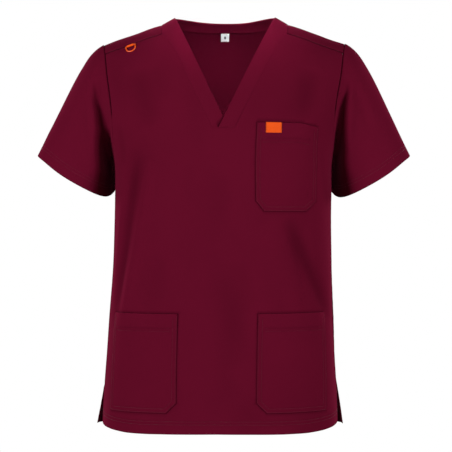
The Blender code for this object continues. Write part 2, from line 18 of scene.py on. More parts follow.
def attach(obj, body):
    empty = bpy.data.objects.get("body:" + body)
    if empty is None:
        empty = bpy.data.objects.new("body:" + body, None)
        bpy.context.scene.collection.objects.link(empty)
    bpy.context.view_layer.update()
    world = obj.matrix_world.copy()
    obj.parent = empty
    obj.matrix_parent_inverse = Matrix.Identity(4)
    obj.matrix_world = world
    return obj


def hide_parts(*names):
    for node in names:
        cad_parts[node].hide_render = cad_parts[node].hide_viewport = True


bl_info = {
    "name": "Scrub top",
    "version": (1, 0, 0),
    "blender": (4, 5, 0),
    "location": "3D View > Sidebar > Scrub top",
    "description": "Builds a short-sleeved scrub top in twill, with its seams, hems and stitching",
    "category": "Object",
}

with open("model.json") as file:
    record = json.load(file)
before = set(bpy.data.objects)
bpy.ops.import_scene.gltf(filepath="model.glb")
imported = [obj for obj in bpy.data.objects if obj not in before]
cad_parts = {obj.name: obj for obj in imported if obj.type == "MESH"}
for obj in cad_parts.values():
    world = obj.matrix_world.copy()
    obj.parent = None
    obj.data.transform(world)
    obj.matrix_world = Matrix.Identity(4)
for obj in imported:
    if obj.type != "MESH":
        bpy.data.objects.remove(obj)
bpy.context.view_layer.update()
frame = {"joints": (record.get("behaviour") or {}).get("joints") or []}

MM = 0.001
CLOTH = 1.2 * MM
BAND_CLOTH = 1.8 * MM
POCKET_GAP = 0.3 * MM
CUT_GAP = 0.1 * MM
GRID = 4.2 * MM                  # from point to point: of the panels, the pockets and the label
POCKET_GRID = 3.6 * MM
LABEL_GRID = 1.8 * MM
EDGE_STEP = 3.0 * MM
EDGE_RINGS = (0.45, 1.3, 2.6)    # millimetres in from an edge where the cloth has its own points
ROW_FLANK = 0.9                  # and millimetres beside each row sewn on it
TRIANGLE_RISE = 0.87             # from one line of points to the next, for each step along it
EDGE_ROUND = 0.9 * MM

# Heights, in millimetres over the neck points
CHEST_Z = -196.0
UNDERARM_Z = -250.0
VENT_TOP_Z = -636.0
HEM_Z = -702.9
ROLL = 0.004                     # rise towards the wearer's left, for each metre across

# The neck and its band, in millimetres
NECK_HALF = 86.4
NECK_TIP_Z = -180.0
NECK_BASE_Z = -197.0
NECK_BASE_HALF = 18.9
NECK_LAP = 8.3
NECK_BACK_DROP = 61.0
NECK_EDGE_DROP = 60.0
NECK_ARC_Z = -10.0
BAND_BACK_WIDTH = 20.5
BAND_SEAM_HALF = 109.0
BAND_CUT = (0.025, 0.86)            # what shows of the folded strip, in metres
BAND_AREA = 0.0203                  # and in square metres
BAND_COLUMNS = (0, 0.018, 0.052, 0.1, 0.2, 0.33, 0.47, 0.6, 0.73, 0.84, 0.92, 0.965, 1.0)

# The wrap over the shoulders, and the section along which distances across are measured
ARCH_RUN = 471 * MM
RIM_POWER = 2.5
GIRTH_ASPECT = 0.62
GIRTH_HALF = 195 * MM
SEARCH_HALF = 210 * MM              # the half width from which a point's place is searched
VENT_SPREAD = (9.4 * MM, 14.3 * MM, 16 * MM)    # of the back's corners: left, right and backward
VENT_REACH = 90 * MM
FLARE_Z = -618.0

SLEEVE_LEAN = math.radians(30.0)
SLEEVE_TILT = math.radians(10)
# Under the arm the hem is lifted and set back: how far, and over how many degrees
SLEEVE_LIFT = (23 * MM, 25)
SLEEVE_BACK = (14 * MM, 40)
SLEEVE_TIP = (2.9 * MM, 42, 24)     # the hem's rise near its outer end: how far, where and how wide
SLEEVE_ROWS = 44
SLEEVE_TOP = (208, -47)             # where its seam crosses the shoulder: across and height
ARM_SEAM_LEAST = 0.12               # how far an armhole's seam still shows in front
ARM_SEAM_FADE = (-182, 20)          # below this height, and the blend up to where it shows in full

POCKET_CLOTH = 1.0 * MM
POCKET_HEM = 0.32 * MM              # how much a doubled edge adds
POCKET_BASE = CLOTH / 2 + POCKET_GAP * 0.6      # its inner face, over the front's middle layer
MOUTH_STAND = 2.2 * MM
MOUTH_REACH = 60 * MM
MOUTH_LINE = 0.25 * MM              # how far above a mouth's edge its painted shadow is deepest

RING_AT = (-157.8, -56.2)           # in millimetres, as seen from the front
RING_WIRE = 1.12 * MM
RING_BAR_HALF = 8.3 * MM
RING_DROP = 12.6 * MM
RING_BEND = 8.2 * MM
RING_CORNER = 1.4 * MM
RING_REST = math.radians(10)
KEEPER_HALF = 5.6 * MM
KEEPER_LOOP = 1.62 * MM
KEEPER_RIBBON = 0.5 * MM
RIBBON = 0.8 * MM
RIBBON_GAP = 0.25 * MM
THREAD_SINK = 0.2 * MM              # how far below the cloth's face a row's threads are centred

HEM_ROWS = (16.0, 21.0)             # stitch rows, millimetres above a hem
VENT_ROWS = (2.0, 7.0)              # in from a vent's edge
POCKET_ROWS = (1.9, 7.6)            # in from a pocket's sewn sides
CHEST_BAND = (24.5, 31.0)           # and below its mouth
LOWER_BAND = (24.0, 29.0)
ROW_SHORT = 9.5                     # where a mouth's rows stop short of the sides

STITCH_SIDES = 5

# Shares of shade painted into the cloth's colour, where less light reaches it
DARKNESS = {"front_fold": 0.32, "back_fold": 0.20, "armpit": 0.62, "pocket_edge": 0.45,
            "pocket_mouth": 0.85, "lap": 0.8}
FOLD_DEPTH = 4 * MM                 # the depth at which a fold has its whole painted shade


def table(columns, rows):
    """Named columns of a short table, as arrays."""
    return dict(zip(columns.split(), np.array(rows, float).T))


TORSO = table("z half_width front_depth back_depth centre_x turn power", [
    (-705, 202.0, 129, 120, -8.0, -2.9, 2.65),
    (-609, 197.6, 128, 118, -7.7, -2.9, 2.62),
    (-540, 193.3, 126, 112, -6.5, -2.8, 2.60),
    (-470, 189.7, 123, 106, -5.8, -2.3, 2.53),
    (-400, 187.2, 121, 103, -4.4, -1.6, 2.50),
    (-315, 185.8, 122, 106, -3.3, -0.8, 2.50),
    (-250, 187.0, 122, 110, -3.0, -0.3, 2.50),
    (-215, 193.5, 121, 111, -2.7, -0.1, 2.50),
    (-190, 200.0, 120, 112, -2.5, 0.0, 2.50),
    (-171, 205.0, 120, 112, -2.4, 0.0, 2.50),
    (-120, 215.0, 120, 112, -2.0, 0.0, 2.50),
    (-47, 228.0, 120, 112, -1.0, 0.0, 2.50),
    (15, 234.0, 120, 112, 0.0, 0.0, 2.50),
])

SHOULDER = table("x z", [
    (-40, 9.2), (0, 11), (40, 9.2), (62, 6.4), (86.4, -0.9), (98, -7.6), (109, -13.7), (119, -17),
    (130, -20.7), (150, -28), (171, -35), (192, -42), (208, -48), (235, -61),
])

ARMHOLE_FRONT = table("x z", [
    (203.0, -66), (197.5, -107), (192, -141), (188.6, -170), (186.6, -200), (186.2, -228),
])
ARMHOLE_BACK = table("x z", [
    (205.5, -66), (201.5, -107), (197, -141), (193, -170), (189.5, -200), (187.4, -228),
])

# The band's outer seam in front, from the squared base to the shoulder
BAND_SEAM = table("x z", [
    (18.9, -197), (40, -154), (62, -109), (83.4, -66), (97, -46), (105.5, -34.4),
])
SHOULDER_SEAM = table("x z", [(105.5, -34.4), (154, -50.8), (203, -66)])

# Rise of the hems towards the vents, by the distance short of the side
HEM_RISE = table("short front back", [
    (-150, -1.0, 0.0), (-112, -0.7, 0.0), (-80, 1.6, 0.0), (-52, 4.4, -0.3), (-25, 8.0, -0.2),
    (0, 11.6, 0.3),
])

# Hem rings, both given as on the wearer's right: the centre and half the two widths
SLEEVE_RING = table("side x y z half_width half_depth", [
    (-1, -257.0, 8, -276.1, 76.7, 55),
    (1, -251.7, 8, -276.9, 78.2, 55),
])

# How the cloth leaves the armhole and reaches the hem ring, round the sleeve from its top
SLEEVE = table("turn out down reach end_out end_down end_reach", [
    (0, 0.90, 0.43, 45, 0.447, 0.894, 110),
    (45, 0.80, 0.60, 44, 0.47, 0.88, 95),
    (90, 0.62, 0.75, 40, 0.489, 0.872, 62),
    (140, 0.80, 0.50, 24, 0.36, 0.93, 40),
    (180, 0.75, 0.66, 5, 0.05, 1.00, 24),
])

# Folds: side is 1 in front and -1 behind
FOLDS = table("side x z x_end z_end width height", [
    (1, -119, -249, -163, -520, 11, 4.4),
    (1, -144, -225, -178, -535, 14, -4.4),
    (1, 110, -348, 184, -524, 15, -4.5),
    (1, 76, -350, 138, -520, 20, 2.0),
    (1, -150, -95, -120, -200, 22, -2.5),
    (1, 152, -95, 128, -190, 22, -2.5),
    (-1, -120, -200, -150, -500, 24, 4.0),
    (-1, -60, -260, -84, -560, 20, -3.5),
    (-1, 70, -230, 96, -540, 22, -4.0),
    (-1, 128, -210, 156, -480, 24, 4.0),
])

# Smaller creases that lie between the large folds
CREASES = table("side x z x_end z_end width height", [
    (1, -138, -255, -168, -500, 6, 1.1),
    (1, -166, -300, -180, -455, 8, 1.2),
    (1, 116, -380, 150, -505, 7, -1.0),
    (1, 168, -215, 176, -330, 10, -1.1),
    (1, -174, -190, -168, -262, 9, -1.3),
    (1, 20, -400, 34, -600, 34, -1.2),
    (1, -46, -330, -60, -560, 30, 1.1),
    (1, -118, -90, -92, -150, 14, -0.9),
    (1, -171, -52, -145, -43.2, 7, -1.2),
    (-1, -30, -110, -36, -330, 26, 1.6),
    (-1, 24, -90, 30, -300, 24, -1.4),
    (-1, -150, -110, -132, -210, 12, -1.8),
    (-1, 156, -105, 138, -215, 13, 1.6),
    (-1, 8, -330, 14, -640, 28, 1.9),
    (-1, -104, -380, -126, -600, 12, -1.5),
    (-1, 112, -420, 124, -640, 14, 1.5),
    (-1, -160, -300, -172, -460, 9, 1.3),
])

# Slow unevenness of the hanging cloth
WAVES = table("length lean start height", [
    (118, 9, 0.4, 0.42), (73, -14, 1.9, 0.26), (167, 78, 2.7, 0.34), (46, 21, 4.1, 0.11),
])

# Sleeve folds: degrees round from the top by the front, and shares of the way to the hem
SLEEVE_FOLDS = table("side turn turn_end width start end height", [
    (0, 0, 0, 60, -0.20, 0.22, 1.3),
    (-1, 0, 0, 45, 0.14, 0.80, -1.3),
    (1, 0, 0, 45, 0.14, 0.70, -0.4),
    (0, 34, 44, 12, 0.06, 0.55, 1.0),
    (1, 57, 66, 8, 0.10, 0.62, -1.8),
    (-1, 60, 72, 10, 0.12, 0.70, -0.9),
    (0, 205, 212, 13, 0.05, 0.85, 1.8),
    (0, 240, 236, 11, 0.00, 0.75, -2.2),
    (0, 272, 266, 12, 0.05, 0.85, 2.2),
    (0, 304, 298, 13, 0.08, 0.70, -1.8),
    (0, 332, 326, 14, 0.05, 0.60, 1.3),
])

# The deep trough where each sleeve's front falls back beside the trunk: its distance from the
# middle plane, its half widths outward and inward, how far back it goes and how far the cloth
# beside it swells
ARMPIT = table("side z x width inner depth swell", [
    (-1, -105, 219, 9, 10, 0, 0), (-1, -129, 214, 9, 10, 7, 1), (-1, -146, 212, 10, 11, 11, 2),
    (-1, -163, 208, 11, 11, 15, 3), (-1, -180, 205, 12, 12, 17, 3), (-1, -197, 203, 12, 13, 18, 3),
    (-1, -214, 203, 12, 12, 28, 3), (-1, -231, 202, 12, 12, 40, 3), (-1, -248, 200, 12, 13, 46, 2),
    (-1, -265, 199, 12, 15, 47, 2), (-1, -282, 196, 17, 16, 38, 1), (-1, -320, 193, 22, 16, 22, 0),
    (1, -105, 206, 6, 7, 0, 0), (1, -129, 204, 6, 7, 6, 1), (1, -146, 200, 7, 8, 11, 2),
    (1, -163, 197, 8, 9, 15, 3), (1, -180, 196, 8, 10, 17, 3), (1, -197, 195, 8, 10, 19, 3),
    (1, -214, 194, 8, 10, 28, 3), (1, -231, 193, 9, 11, 38, 3), (1, -248, 191, 9, 12, 44, 2),
    (1, -265, 189, 11, 12, 44, 2), (1, -282, 187, 15, 14, 38, 1), (1, -320, 186, 22, 16, 22, 0),
])

ARMPIT_DARK_Z = -228.0              # the level below which little light reaches the troughs, so shade is painted into them

CHEST_POCKET = [(55.3, -189.2), (128, -189.8), (156.8, -195.8), (156.5, -258), (155.6, -319.5),
                (139.5, -336.5), (69.8, -336.5), (55.8, -319)]
LOWER_POCKET = [(66, -505), (121, -505), (176, -505), (180.5, -669), (83, -669), (66, -652)]
TAG = [(69.6, -190.4), (95.4, -190.6), (95.4, -206.6), (69.6, -206.2)]
TAG_TUCK = 9 * MM
TAG_BEND = 0.9 * MM
TAG_ROW = 1.7 * MM
LABEL_HALF = 6.0 * MM
LABEL_CENTRE = 0.6 * MM
LABEL_DROP = (2 * MM, 16 * MM)
LABEL_BAR = (1.3 * MM, 2.6 * MM)
LABEL_CLOTH = 0.8 * MM
RIB_PITCH = 0.55 * MM
LABEL_WEAVE = 0.5 * MM

CAMERA_AT = (0.0017, -2.6, -0.360)
CAMERA_LENS = 119.8
FLOOR_SIZE = 8
FLOOR_Z = -1.45
WORLD_LIGHT = 0.08

# A stitch's thread, by half its length: how wide it is and how high it lies, in radii
STITCH = table("along size lift", [
    (-1, 0.6, -0.75), (-0.55, 1, 0.15), (0.55, 1, 0.15), (1, 0.6, -0.75),
])

# Name, place, target, size, watts and spread in degrees
LIGHTS = [
    ("key", (-2.02, -1.58, -0.1), (0, 0, -0.3), 0.9, 52, 180),
    ("fill", (2.02, -1.58, -0.1), (0, 0, -0.3), 0.9, 45, 180),
    ("front", (0, -2.6, 0.1), (0, 0, -0.2), 0.7, 8, 180),
    ("neck", (0, -0.42, 0.24), (0, 0.06, -0.02), 0.15, 0.24, 36),
    ("back_right", (-1.75, 1.9, 0.25), (0, 0, -0.3), 1.3, 38, 180),
    ("back_left", (1.75, 1.9, 0.25), (0, 0, -0.3), 1.3, 38, 180),
]


# ---------------------------------------------------------------- settings

class ScrubTopSizes(bpy.types.PropertyGroup):
    hem_depth: FloatProperty(name="Hem depth", description="Height of the turned hem",
                             default=0.022, min=0.01, max=0.05, unit="LENGTH")
    stitch_pitch: FloatProperty(name="Stitch pitch", description="Distance from stitch to stitch",
                                default=0.0030, min=0.002, max=0.006, unit="LENGTH")
    stitch_length: FloatProperty(name="Stitch length", description="Length of thread that shows",
                                 default=0.0023, min=0.001, max=0.005, unit="LENGTH")
    thread: FloatProperty(name="Thread", description="Thickness of the sewing thread",
                          default=0.00052, min=0.0002, max=0.001, unit="LENGTH")
    twill: FloatProperty(name="Twill pitch", description="Distance between two twill lines",
                         default=0.0009, min=0.0004, max=0.003, unit="LENGTH")


class ScrubTopColours(bpy.types.PropertyGroup):
    cloth: FloatVectorProperty(name="Cloth", description="Colour of the twill", subtype="COLOR",
                               size=4, min=0, max=1, default=(0.115, 0.0042, 0.0190, 1))
    thread: FloatVectorProperty(name="Thread", description="Colour of the sewing thread",
                                subtype="COLOR", size=4, min=0, max=1,
                                default=(0.125, 0.0050, 0.022, 1))
    ribbon: FloatVectorProperty(name="Ribbon", description="Colour of the tag and the ring keeper",
                                subtype="COLOR", size=4, min=0, max=1,
                                default=(0.86, 0.094, 0.0060, 1))
    ring: FloatVectorProperty(name="Ring", description="Colour of the badge ring",
                              subtype="COLOR", size=4, min=0, max=1, default=(0.74, 0.075, 0.0030, 1))
    label: FloatVectorProperty(name="Label", description="Colour of the woven label",
                               subtype="COLOR", size=4, min=0, max=1, default=(0.93, 0.93, 0.92, 1))


# ---------------------------------------------------------------- curves

def smooth(xs, ys, samples=400):
    """A smooth curve through a table's rows, as a function of its first column."""
    slope = np.gradient(ys, xs)
    dense = np.linspace(xs[0], xs[-1], samples)
    row = np.clip(np.searchsorted(xs, dense, side="right") - 1, 0, len(xs) - 2)
    span = xs[row + 1] - xs[row]
    t = (dense - xs[row]) / span
    curve = ((1 + 2 * t) * (1 - t) ** 2 * ys[row] + t * (1 - t) ** 2 * span * slope[row]
             + t * t * (3 - 2 * t) * ys[row + 1] + t * t * (t - 1) * span * slope[row + 1])
    return lambda x: np.interp(x, dense, curve)


def runs_of(points):
    """Distance along a line to each of its points."""
    return np.concatenate([[0], np.cumsum(np.linalg.norm(np.diff(points, axis=0), axis=1))])


def at_runs(values, where, run=None):
    """Values part way along a line: its own points, or others that belong to them."""
    run = runs_of(values) if run is None else run
    return np.stack([np.interp(where, run, column) for column in values.T], axis=1)


def path(points, step, closed=False):
    """Evenly spaced points along a line through the given ones, its ends kept."""
    points = np.asarray(points, float)
    if closed:
        points = np.vstack([points, points[:1]])
    length = runs_of(points)[-1]
    return at_runs(points, np.linspace(0, length, max(1, round(length / step)) + 1))


def spread(points, count):
    """A given number of evenly spaced points along a line."""
    return at_runs(points, np.linspace(0, runs_of(points)[-1], count))


def ease(t):
    t = np.clip(t, 0, 1)
    return t * t * (3 - 2 * t)


def bell(distance, width):
    return np.exp(-(distance / width) ** 2)


def rounded(away, radius=EDGE_ROUND):
    """The profile of a round edge: 0 at the edge and 1 from its radius on."""
    return np.sqrt(1 - (1 - np.clip(away / radius, 0, 1)) ** 2)


def unit(vectors):
    return vectors / np.linalg.norm(vectors, axis=-1, keepdims=True)


# ---------------------------------------------------------------- torso surface

def girth_curve(samples=600):
    """Distance round a section from the centre to the side, and the share of width it reaches."""
    turn = np.linspace(0, math.pi / 2, samples)
    share = np.sin(turn) ** (2 / RIM_POWER)
    depth = GIRTH_ASPECT * np.cos(turn) ** (2 / RIM_POWER)
    run = np.concatenate([[0], np.cumsum(np.hypot(np.diff(share), np.diff(depth)))])
    return run * GIRTH_HALF, share


GIRTH_RUN, GIRTH_SHARE = girth_curve()
SIDE = GIRTH_RUN[-1]
LEVEL = {name: smooth(TORSO["z"] * MM, TORSO[name] * scale) for name, scale in (
    ("half_width", MM), ("front_depth", MM), ("back_depth", MM), ("centre_x", MM),
    ("turn", math.radians(1)), ("power", 1))}
RIDGE = smooth(SHOULDER["x"] * MM, SHOULDER["z"] * MM)
CHEST = CHEST_Z * MM
HEM_FRONT = (HEM_Z - CHEST_Z) * MM
HEM_BACK = ARCH_RUN - HEM_FRONT


def share_of(across):
    """A distance along a section, in metres, as a share of the section's half width."""
    return np.sign(across) * np.interp(np.abs(across), GIRTH_RUN, GIRTH_SHARE)


def across_of(share):
    return np.sign(share) * np.interp(np.abs(share), GIRTH_SHARE, GIRTH_RUN)


def bare_torso(across, up):
    """The torso's surface before its folds."""
    across, up = np.broadcast_arrays(np.asarray(across, float), np.asarray(up, float))
    arch = np.clip(up / ARCH_RUN, 0, 1) * math.pi
    share = share_of(across)
    fall = np.minimum(np.minimum(up, ARCH_RUN - up), 0)
    x = share * SEARCH_HALF
    for _ in range(4):
        z = CHEST + (RIDGE(np.abs(x)) - CHEST) * np.sin(arch) + fall
        x = share * LEVEL["half_width"](z)
    power = LEVEL["power"](z)
    rim = np.maximum(1 - np.abs(share) ** power, 0) ** (1 / power)
    front = LEVEL["front_depth"](z) * rim * np.cos(arch)
    back = LEVEL["back_depth"](z) * rim * np.cos(arch)
    y = -np.where(arch < math.pi / 2, front, back)
    edge = ease((np.abs(across) - SIDE + VENT_REACH) / VENT_REACH) ** 2
    flare = np.clip((FLARE_Z * MM - z) / ((FLARE_Z - HEM_Z) * MM), 0, 1)
    swing = edge * flare * (up > ARCH_RUN / 2)
    x = x + np.where(across > 0, VENT_SPREAD[0], -VENT_SPREAD[1]) * swing
    y = y + VENT_SPREAD[2] * swing
    turn = LEVEL["turn"](z)
    lean = LEVEL["centre_x"](z)
    return np.stack([x * np.cos(turn) - y * np.sin(turn) + lean,
                     x * np.sin(turn) + y * np.cos(turn), z + x * ROLL], axis=-1)


def normals_of(surface, across, up, reach=0.5 * MM):
    """Outward directions of a surface, from points a little to each side."""
    left, right = np.maximum(across - reach, -SIDE), np.minimum(across + reach, SIDE)
    along = surface(right, up) - surface(left, up)
    rise = surface(across, up + reach) - surface(across, up - reach)
    return unit(np.cross(along, rise))


def place(x, z, side=1):
    """The surface point seen straight from the front, or from behind, at x and z millimetres."""
    x, z = np.asarray(x, float) * MM, np.asarray(z, float) * MM
    share = x / LEVEL["half_width"](z)
    rise = np.clip((z - CHEST) / (RIDGE(np.abs(x)) - CHEST), -9, 1)
    up = np.where(z < CHEST, z - CHEST, np.arcsin(np.clip(rise, 0, 1)) / math.pi * ARCH_RUN)
    return np.stack([across_of(share), up if side > 0 else ARCH_RUN - up], axis=-1)


def place_all(points, side=1):
    points = np.asarray(points, float)
    return place(points[:, 0], points[:, 1], side)


def fold_height(across, up):
    """How far the folds, creases and slow waves lift the cloth off the plain surface."""
    total = np.zeros(np.shape(across))
    for folds in (FOLDS, CREASES):
        for side, x, z, x_end, z_end, width, height in zip(*folds.values()):
            start, end = place(x, z, side), place(x_end, z_end, side)
            line = end - start
            offset = np.stack([across - start[0], up - start[1]], axis=-1)
            t = np.clip(offset @ line / (line @ line), 0, 1)
            away = np.linalg.norm(offset - t[..., None] * line, axis=-1)
            total = total + height * MM * bell(away, width * MM) * (1 - np.abs(2 * t - 1) ** 3)
    for length, lean, start, height in zip(*WAVES.values()):
        lean = math.radians(lean)
        along = (across * math.cos(lean) + up * math.sin(lean)) / (length * MM)
        total = total + height * MM * np.sin(2 * math.pi * along + start)
    return total


def hollows(across, up):
    """How far down in a fold's valley the cloth lies, up to 1, where less light reaches it: the share
    of shade painted there.
    """
    return np.clip(-fold_height(across, up) / FOLD_DEPTH, 0, 1)


def torso(across, up):
    """Points of the cloth's middle layer and the outward directions there."""
    bare = bare_torso(across, up)
    normal = normals_of(bare_torso, across, up)
    return bare + normal * fold_height(across, up)[..., None], normal


def above_armpit(z):
    """The share by which an armhole seam shows in front: whole at the shoulder, little below."""
    level, blend = ARM_SEAM_FADE
    return ARM_SEAM_LEAST + (1 - ARM_SEAM_LEAST) * ease((z / MM - level) / blend)


def ripple(across, up):
    """Short puckers of sewn cloth, between -1 and 1."""
    a, b = across / MM, up / MM
    return (np.sin(a / 1.9 + 1.3 * np.sin(b / 7.1)) + np.sin(b / 2.1 + 1.7 * np.sin(a / 9.3))
            + np.sin((a + b) / 3.7 + 0.4)) / 3


# ---------------------------------------------------------------- outlines on the surface

def mirrored(points):
    return np.asarray(points)[::-1] * (-1, 1)


def both_sides(lines):
    return [line for one in lines for line in (one, mirrored(one))]


def neck_arc(half, drop, flat_top=0.85, flat_side=0.85):
    """From the shoulder's top round the back of the neck to the centre."""
    turn = np.linspace(0, math.pi / 2, 60)
    side = across_of(half * MM / LEVEL["half_width"](NECK_ARC_Z * MM))
    return np.stack([side * np.cos(turn) ** flat_top,
                     ARCH_RUN / 2 + drop * MM * np.sin(turn) ** flat_side], axis=1)


def armhole(columns, side, start):
    """One half of the armhole's seam, from the sleeve's top down to the underarm."""
    z = np.linspace(columns["z"][0], columns["z"][-1], 40)
    x = smooth(columns["z"][::-1], columns["x"][::-1])(z)
    under = HEM_FRONT - (HEM_Z - UNDERARM_Z) * MM
    under = under if side > 0 else ARCH_RUN - under
    return np.vstack([start, place(x, z, side), [[SIDE, under]]])


def seams():
    """The lines that neighbouring pieces share, as points on the surface: those on the wearer's left,
    and the V's squared base."""
    half, height = SLEEVE_TOP
    top = [[across_of(half * MM / LEVEL["half_width"](height * MM)), ARCH_RUN / 2]]
    behind = armhole(ARMHOLE_BACK, -1, top)
    before = armhole(ARMHOLE_FRONT, 1, top)
    z = np.linspace(BAND_SEAM["z"][0], BAND_SEAM["z"][-1], 90)
    band_front = path(place(smooth(BAND_SEAM["z"], BAND_SEAM["x"])(z), z), EDGE_STEP)
    back = neck_arc(BAND_SEAM_HALF, NECK_BACK_DROP + BAND_BACK_WIDTH)
    return {
        "shoulder": path(place(*SHOULDER_SEAM.values()), EDGE_STEP),
        "arm_front": path(before[1:], EDGE_STEP),
        "arm_top": path(np.vstack([before[1:2], top]), EDGE_STEP),
        "arm_back": path(behind, EDGE_STEP),
        "band_front": band_front,
        "band_back": path(np.vstack([band_front[-1:], back]), EDGE_STEP),
        "band_base": place([-NECK_BASE_HALF, NECK_BASE_HALF], NECK_BASE_Z),
    }


SEAM = seams()


def signed_area(loop):
    """The area inside a loop of points, negative where it runs clockwise."""
    ahead = np.roll(loop, -1, axis=0)
    return np.sum(loop[:, 0] * ahead[:, 1] - ahead[:, 0] * loop[:, 1]) / 2


def inset(outline, gap):
    """A closed outline moved inward by gap."""
    gap = gap * np.sign(signed_area(outline))
    before, after = np.roll(outline, 1, axis=0), np.roll(outline, -1, axis=0)
    first, second = unit(outline - before), unit(after - outline)
    inward = unit(np.stack([-(first + second)[:, 1], (first + second)[:, 0]], axis=1))
    stretch = np.maximum(np.abs(first[:, 0] * inward[:, 1] - first[:, 1] * inward[:, 0]), 0.4)
    return outline + inward * gap / stretch[:, None]


def distance(points, lines):
    """Distance of each point from the nearest of some open lines."""
    nearest = np.full(len(points), np.inf)
    for line in lines:
        for a, b in zip(line[:-1], line[1:]):
            side = b - a
            t = np.clip((points - a) @ side / max(side @ side, 1e-14), 0, 1)
            gap = points - a - t[:, None] * side
            nearest = np.minimum(nearest, gap[:, 0] ** 2 + gap[:, 1] ** 2)
    return np.sqrt(nearest)


def closed(outline):
    return np.vstack([outline, outline[:1]])


def inside(points, outline):
    """Whether each point lies inside an outline, by the edges to its right."""
    hit = np.zeros(len(points), bool)
    for a, b in zip(outline, np.roll(outline, -1, axis=0)):
        crosses = (a[1] > points[:, 1]) != (b[1] > points[:, 1])
        rise = b[1] - a[1] if b[1] != a[1] else 1e-12
        hit ^= crosses & (points[:, 0] < a[0] + (points[:, 1] - a[1]) / rise * (b[0] - a[0]))
    return hit


def fill(outline, rows=(), grid=GRID):
    """Triangles inside an outline, finer along its edge and along each row sewn on it."""
    if signed_area(outline) < 0:
        outline = outline[::-1]
    # New points keep clear of the edge and of the rows, which leaves few thin triangles
    edge = [closed(outline)]
    low, high = outline.min(axis=0), outline.max(axis=0)
    lines = np.arange(low[1], high[1], grid * TRIANGLE_RISE)
    points = np.array([(x + (i % 2) * grid / 2, y) for i, y in enumerate(lines)
                       for x in np.arange(low[0], high[0], grid)])
    points = points[inside(points, outline)]
    away = distance(points, edge) > (EDGE_RINGS[-1] * MM + 0.4 * grid)
    if rows:
        away &= distance(points, rows) > ROW_FLANK * MM + 0.4 * grid
    free = [points[away]]
    for step in EDGE_RINGS:
        ring = inset(outline, step * MM)
        keep = inside(ring, outline) & (distance(ring, edge) > 0.85 * step * MM)
        if rows:
            keep &= distance(ring, rows) > 0.5 * MM
        free.append(ring[keep])
    flat, links = list(outline), []
    for row in rows:
        first = len(flat)
        row = path(row, EDGE_STEP)
        flat += list(row)
        links += [(first + i, first + i + 1) for i in range(len(row) - 1)]
        along = unit(np.gradient(row, axis=0))
        beside = np.stack([-along[:, 1], along[:, 0]], axis=1) * ROW_FLANK * MM
        for flank in (row + beside, row - beside):
            keep = inside(flank, outline) & (distance(flank, edge) > 0.3 * MM)
            keep &= distance(flank, rows) > 0.6 * MM
            free.append(flank[keep])
    flat += [point for group in free for point in group]
    found = geometry.delaunay_2d_cdt([Vector(p) for p in flat], links,
                                     [list(range(len(outline)))], 1, 1e-6)
    return np.array([tuple(p) for p in found[0]]), [tuple(face) for face in found[2]]


# ---------------------------------------------------------------- materials

class Amount:
    """A number that varies over a surface, and takes part in sums."""

    def __init__(self, recipe, socket):
        self.recipe, self.socket = recipe, socket

    def join(self, operation, *values):
        return self.recipe.node("ShaderNodeMath", {"operation": operation}, dict(enumerate(values)))

    def __add__(self, other):
        return self.join("ADD", self, other)

    def __sub__(self, other):
        return self.join("SUBTRACT", self, other)

    def __rsub__(self, other):
        return self.join("SUBTRACT", other, self)

    def __mul__(self, other):
        return self.join("MULTIPLY", self, other)

    def __lt__(self, other):
        return self.join("LESS_THAN", self, other)

    def __abs__(self):
        return self.join("ABSOLUTE", self)

    def sine(self):
        return self.join("SINE", self)

    __radd__, __rmul__ = __add__, __mul__


class Recipe:
    """A material under construction, round its Principled shader."""

    def __init__(self, name, **sockets):
        self.material = bpy.data.materials.new(name)
        self.material.use_nodes = True
        self.tree = self.material.node_tree
        self.shader = self.tree.nodes["Principled BSDF"]
        for key, value in sockets.items():
            self.shader.inputs[key.replace("_", " ")].default_value = value

    def put(self, socket, value):
        if isinstance(value, Amount):
            self.tree.links.new(value.socket, socket)
        else:
            socket.default_value = value

    def node(self, kind, settings=None, sockets=None, out=0):
        made = self.tree.nodes.new(kind)
        for key, value in (settings or {}).items():
            setattr(made, key, value)
        for key, value in (sockets or {}).items():
            self.put(made.inputs[key], value)
        return Amount(self, made.outputs[out])

    def blend(self, share, one, two):
        return self.node("ShaderNodeMix", {"data_type": "RGBA"}, {0: share, 6: one, 7: two}, 2)

    def feed(self, **sockets):
        for key, value in sockets.items():
            self.put(self.shader.inputs[key.replace("_", " ")], value)
        return self.material

    def flat(self):
        """The cloth's own across and up, in metres."""
        mapped = self.node("ShaderNodeUVMap", {"uv_map": "flat"})
        return mapped, *(self.node("ShaderNodeSeparateXYZ", {}, {0: mapped}, out) for out in (0, 1))

    def object_place(self):
        """Object coordinates."""
        return self.node("ShaderNodeTexCoord", out=3)

    def value_of(self, attribute):
        return self.node("ShaderNodeAttribute", {"attribute_name": attribute}, out=2)

    def noise(self, where, scale, detail=2.0, roughness=0.5):
        return self.node("ShaderNodeTexNoise", {}, {"Vector": where, "Scale": scale, "Detail": detail,
                                                    "Roughness": roughness})

    def bump(self, height, depth, strength=1.0):
        return self.node("ShaderNodeBump", {}, {"Height": height, "Distance": depth,
                                                "Strength": strength})


def shade(colour, gain):
    """A colour made lighter or darker."""
    return tuple(min(1, part * gain) for part in colour[:3]) + (1,)


def once(name, make):
    return bpy.data.materials.get(name) or make(name)


def colours():
    return bpy.context.scene.scrub_top_colours


def sizes():
    return bpy.context.scene.scrub_top_sizes


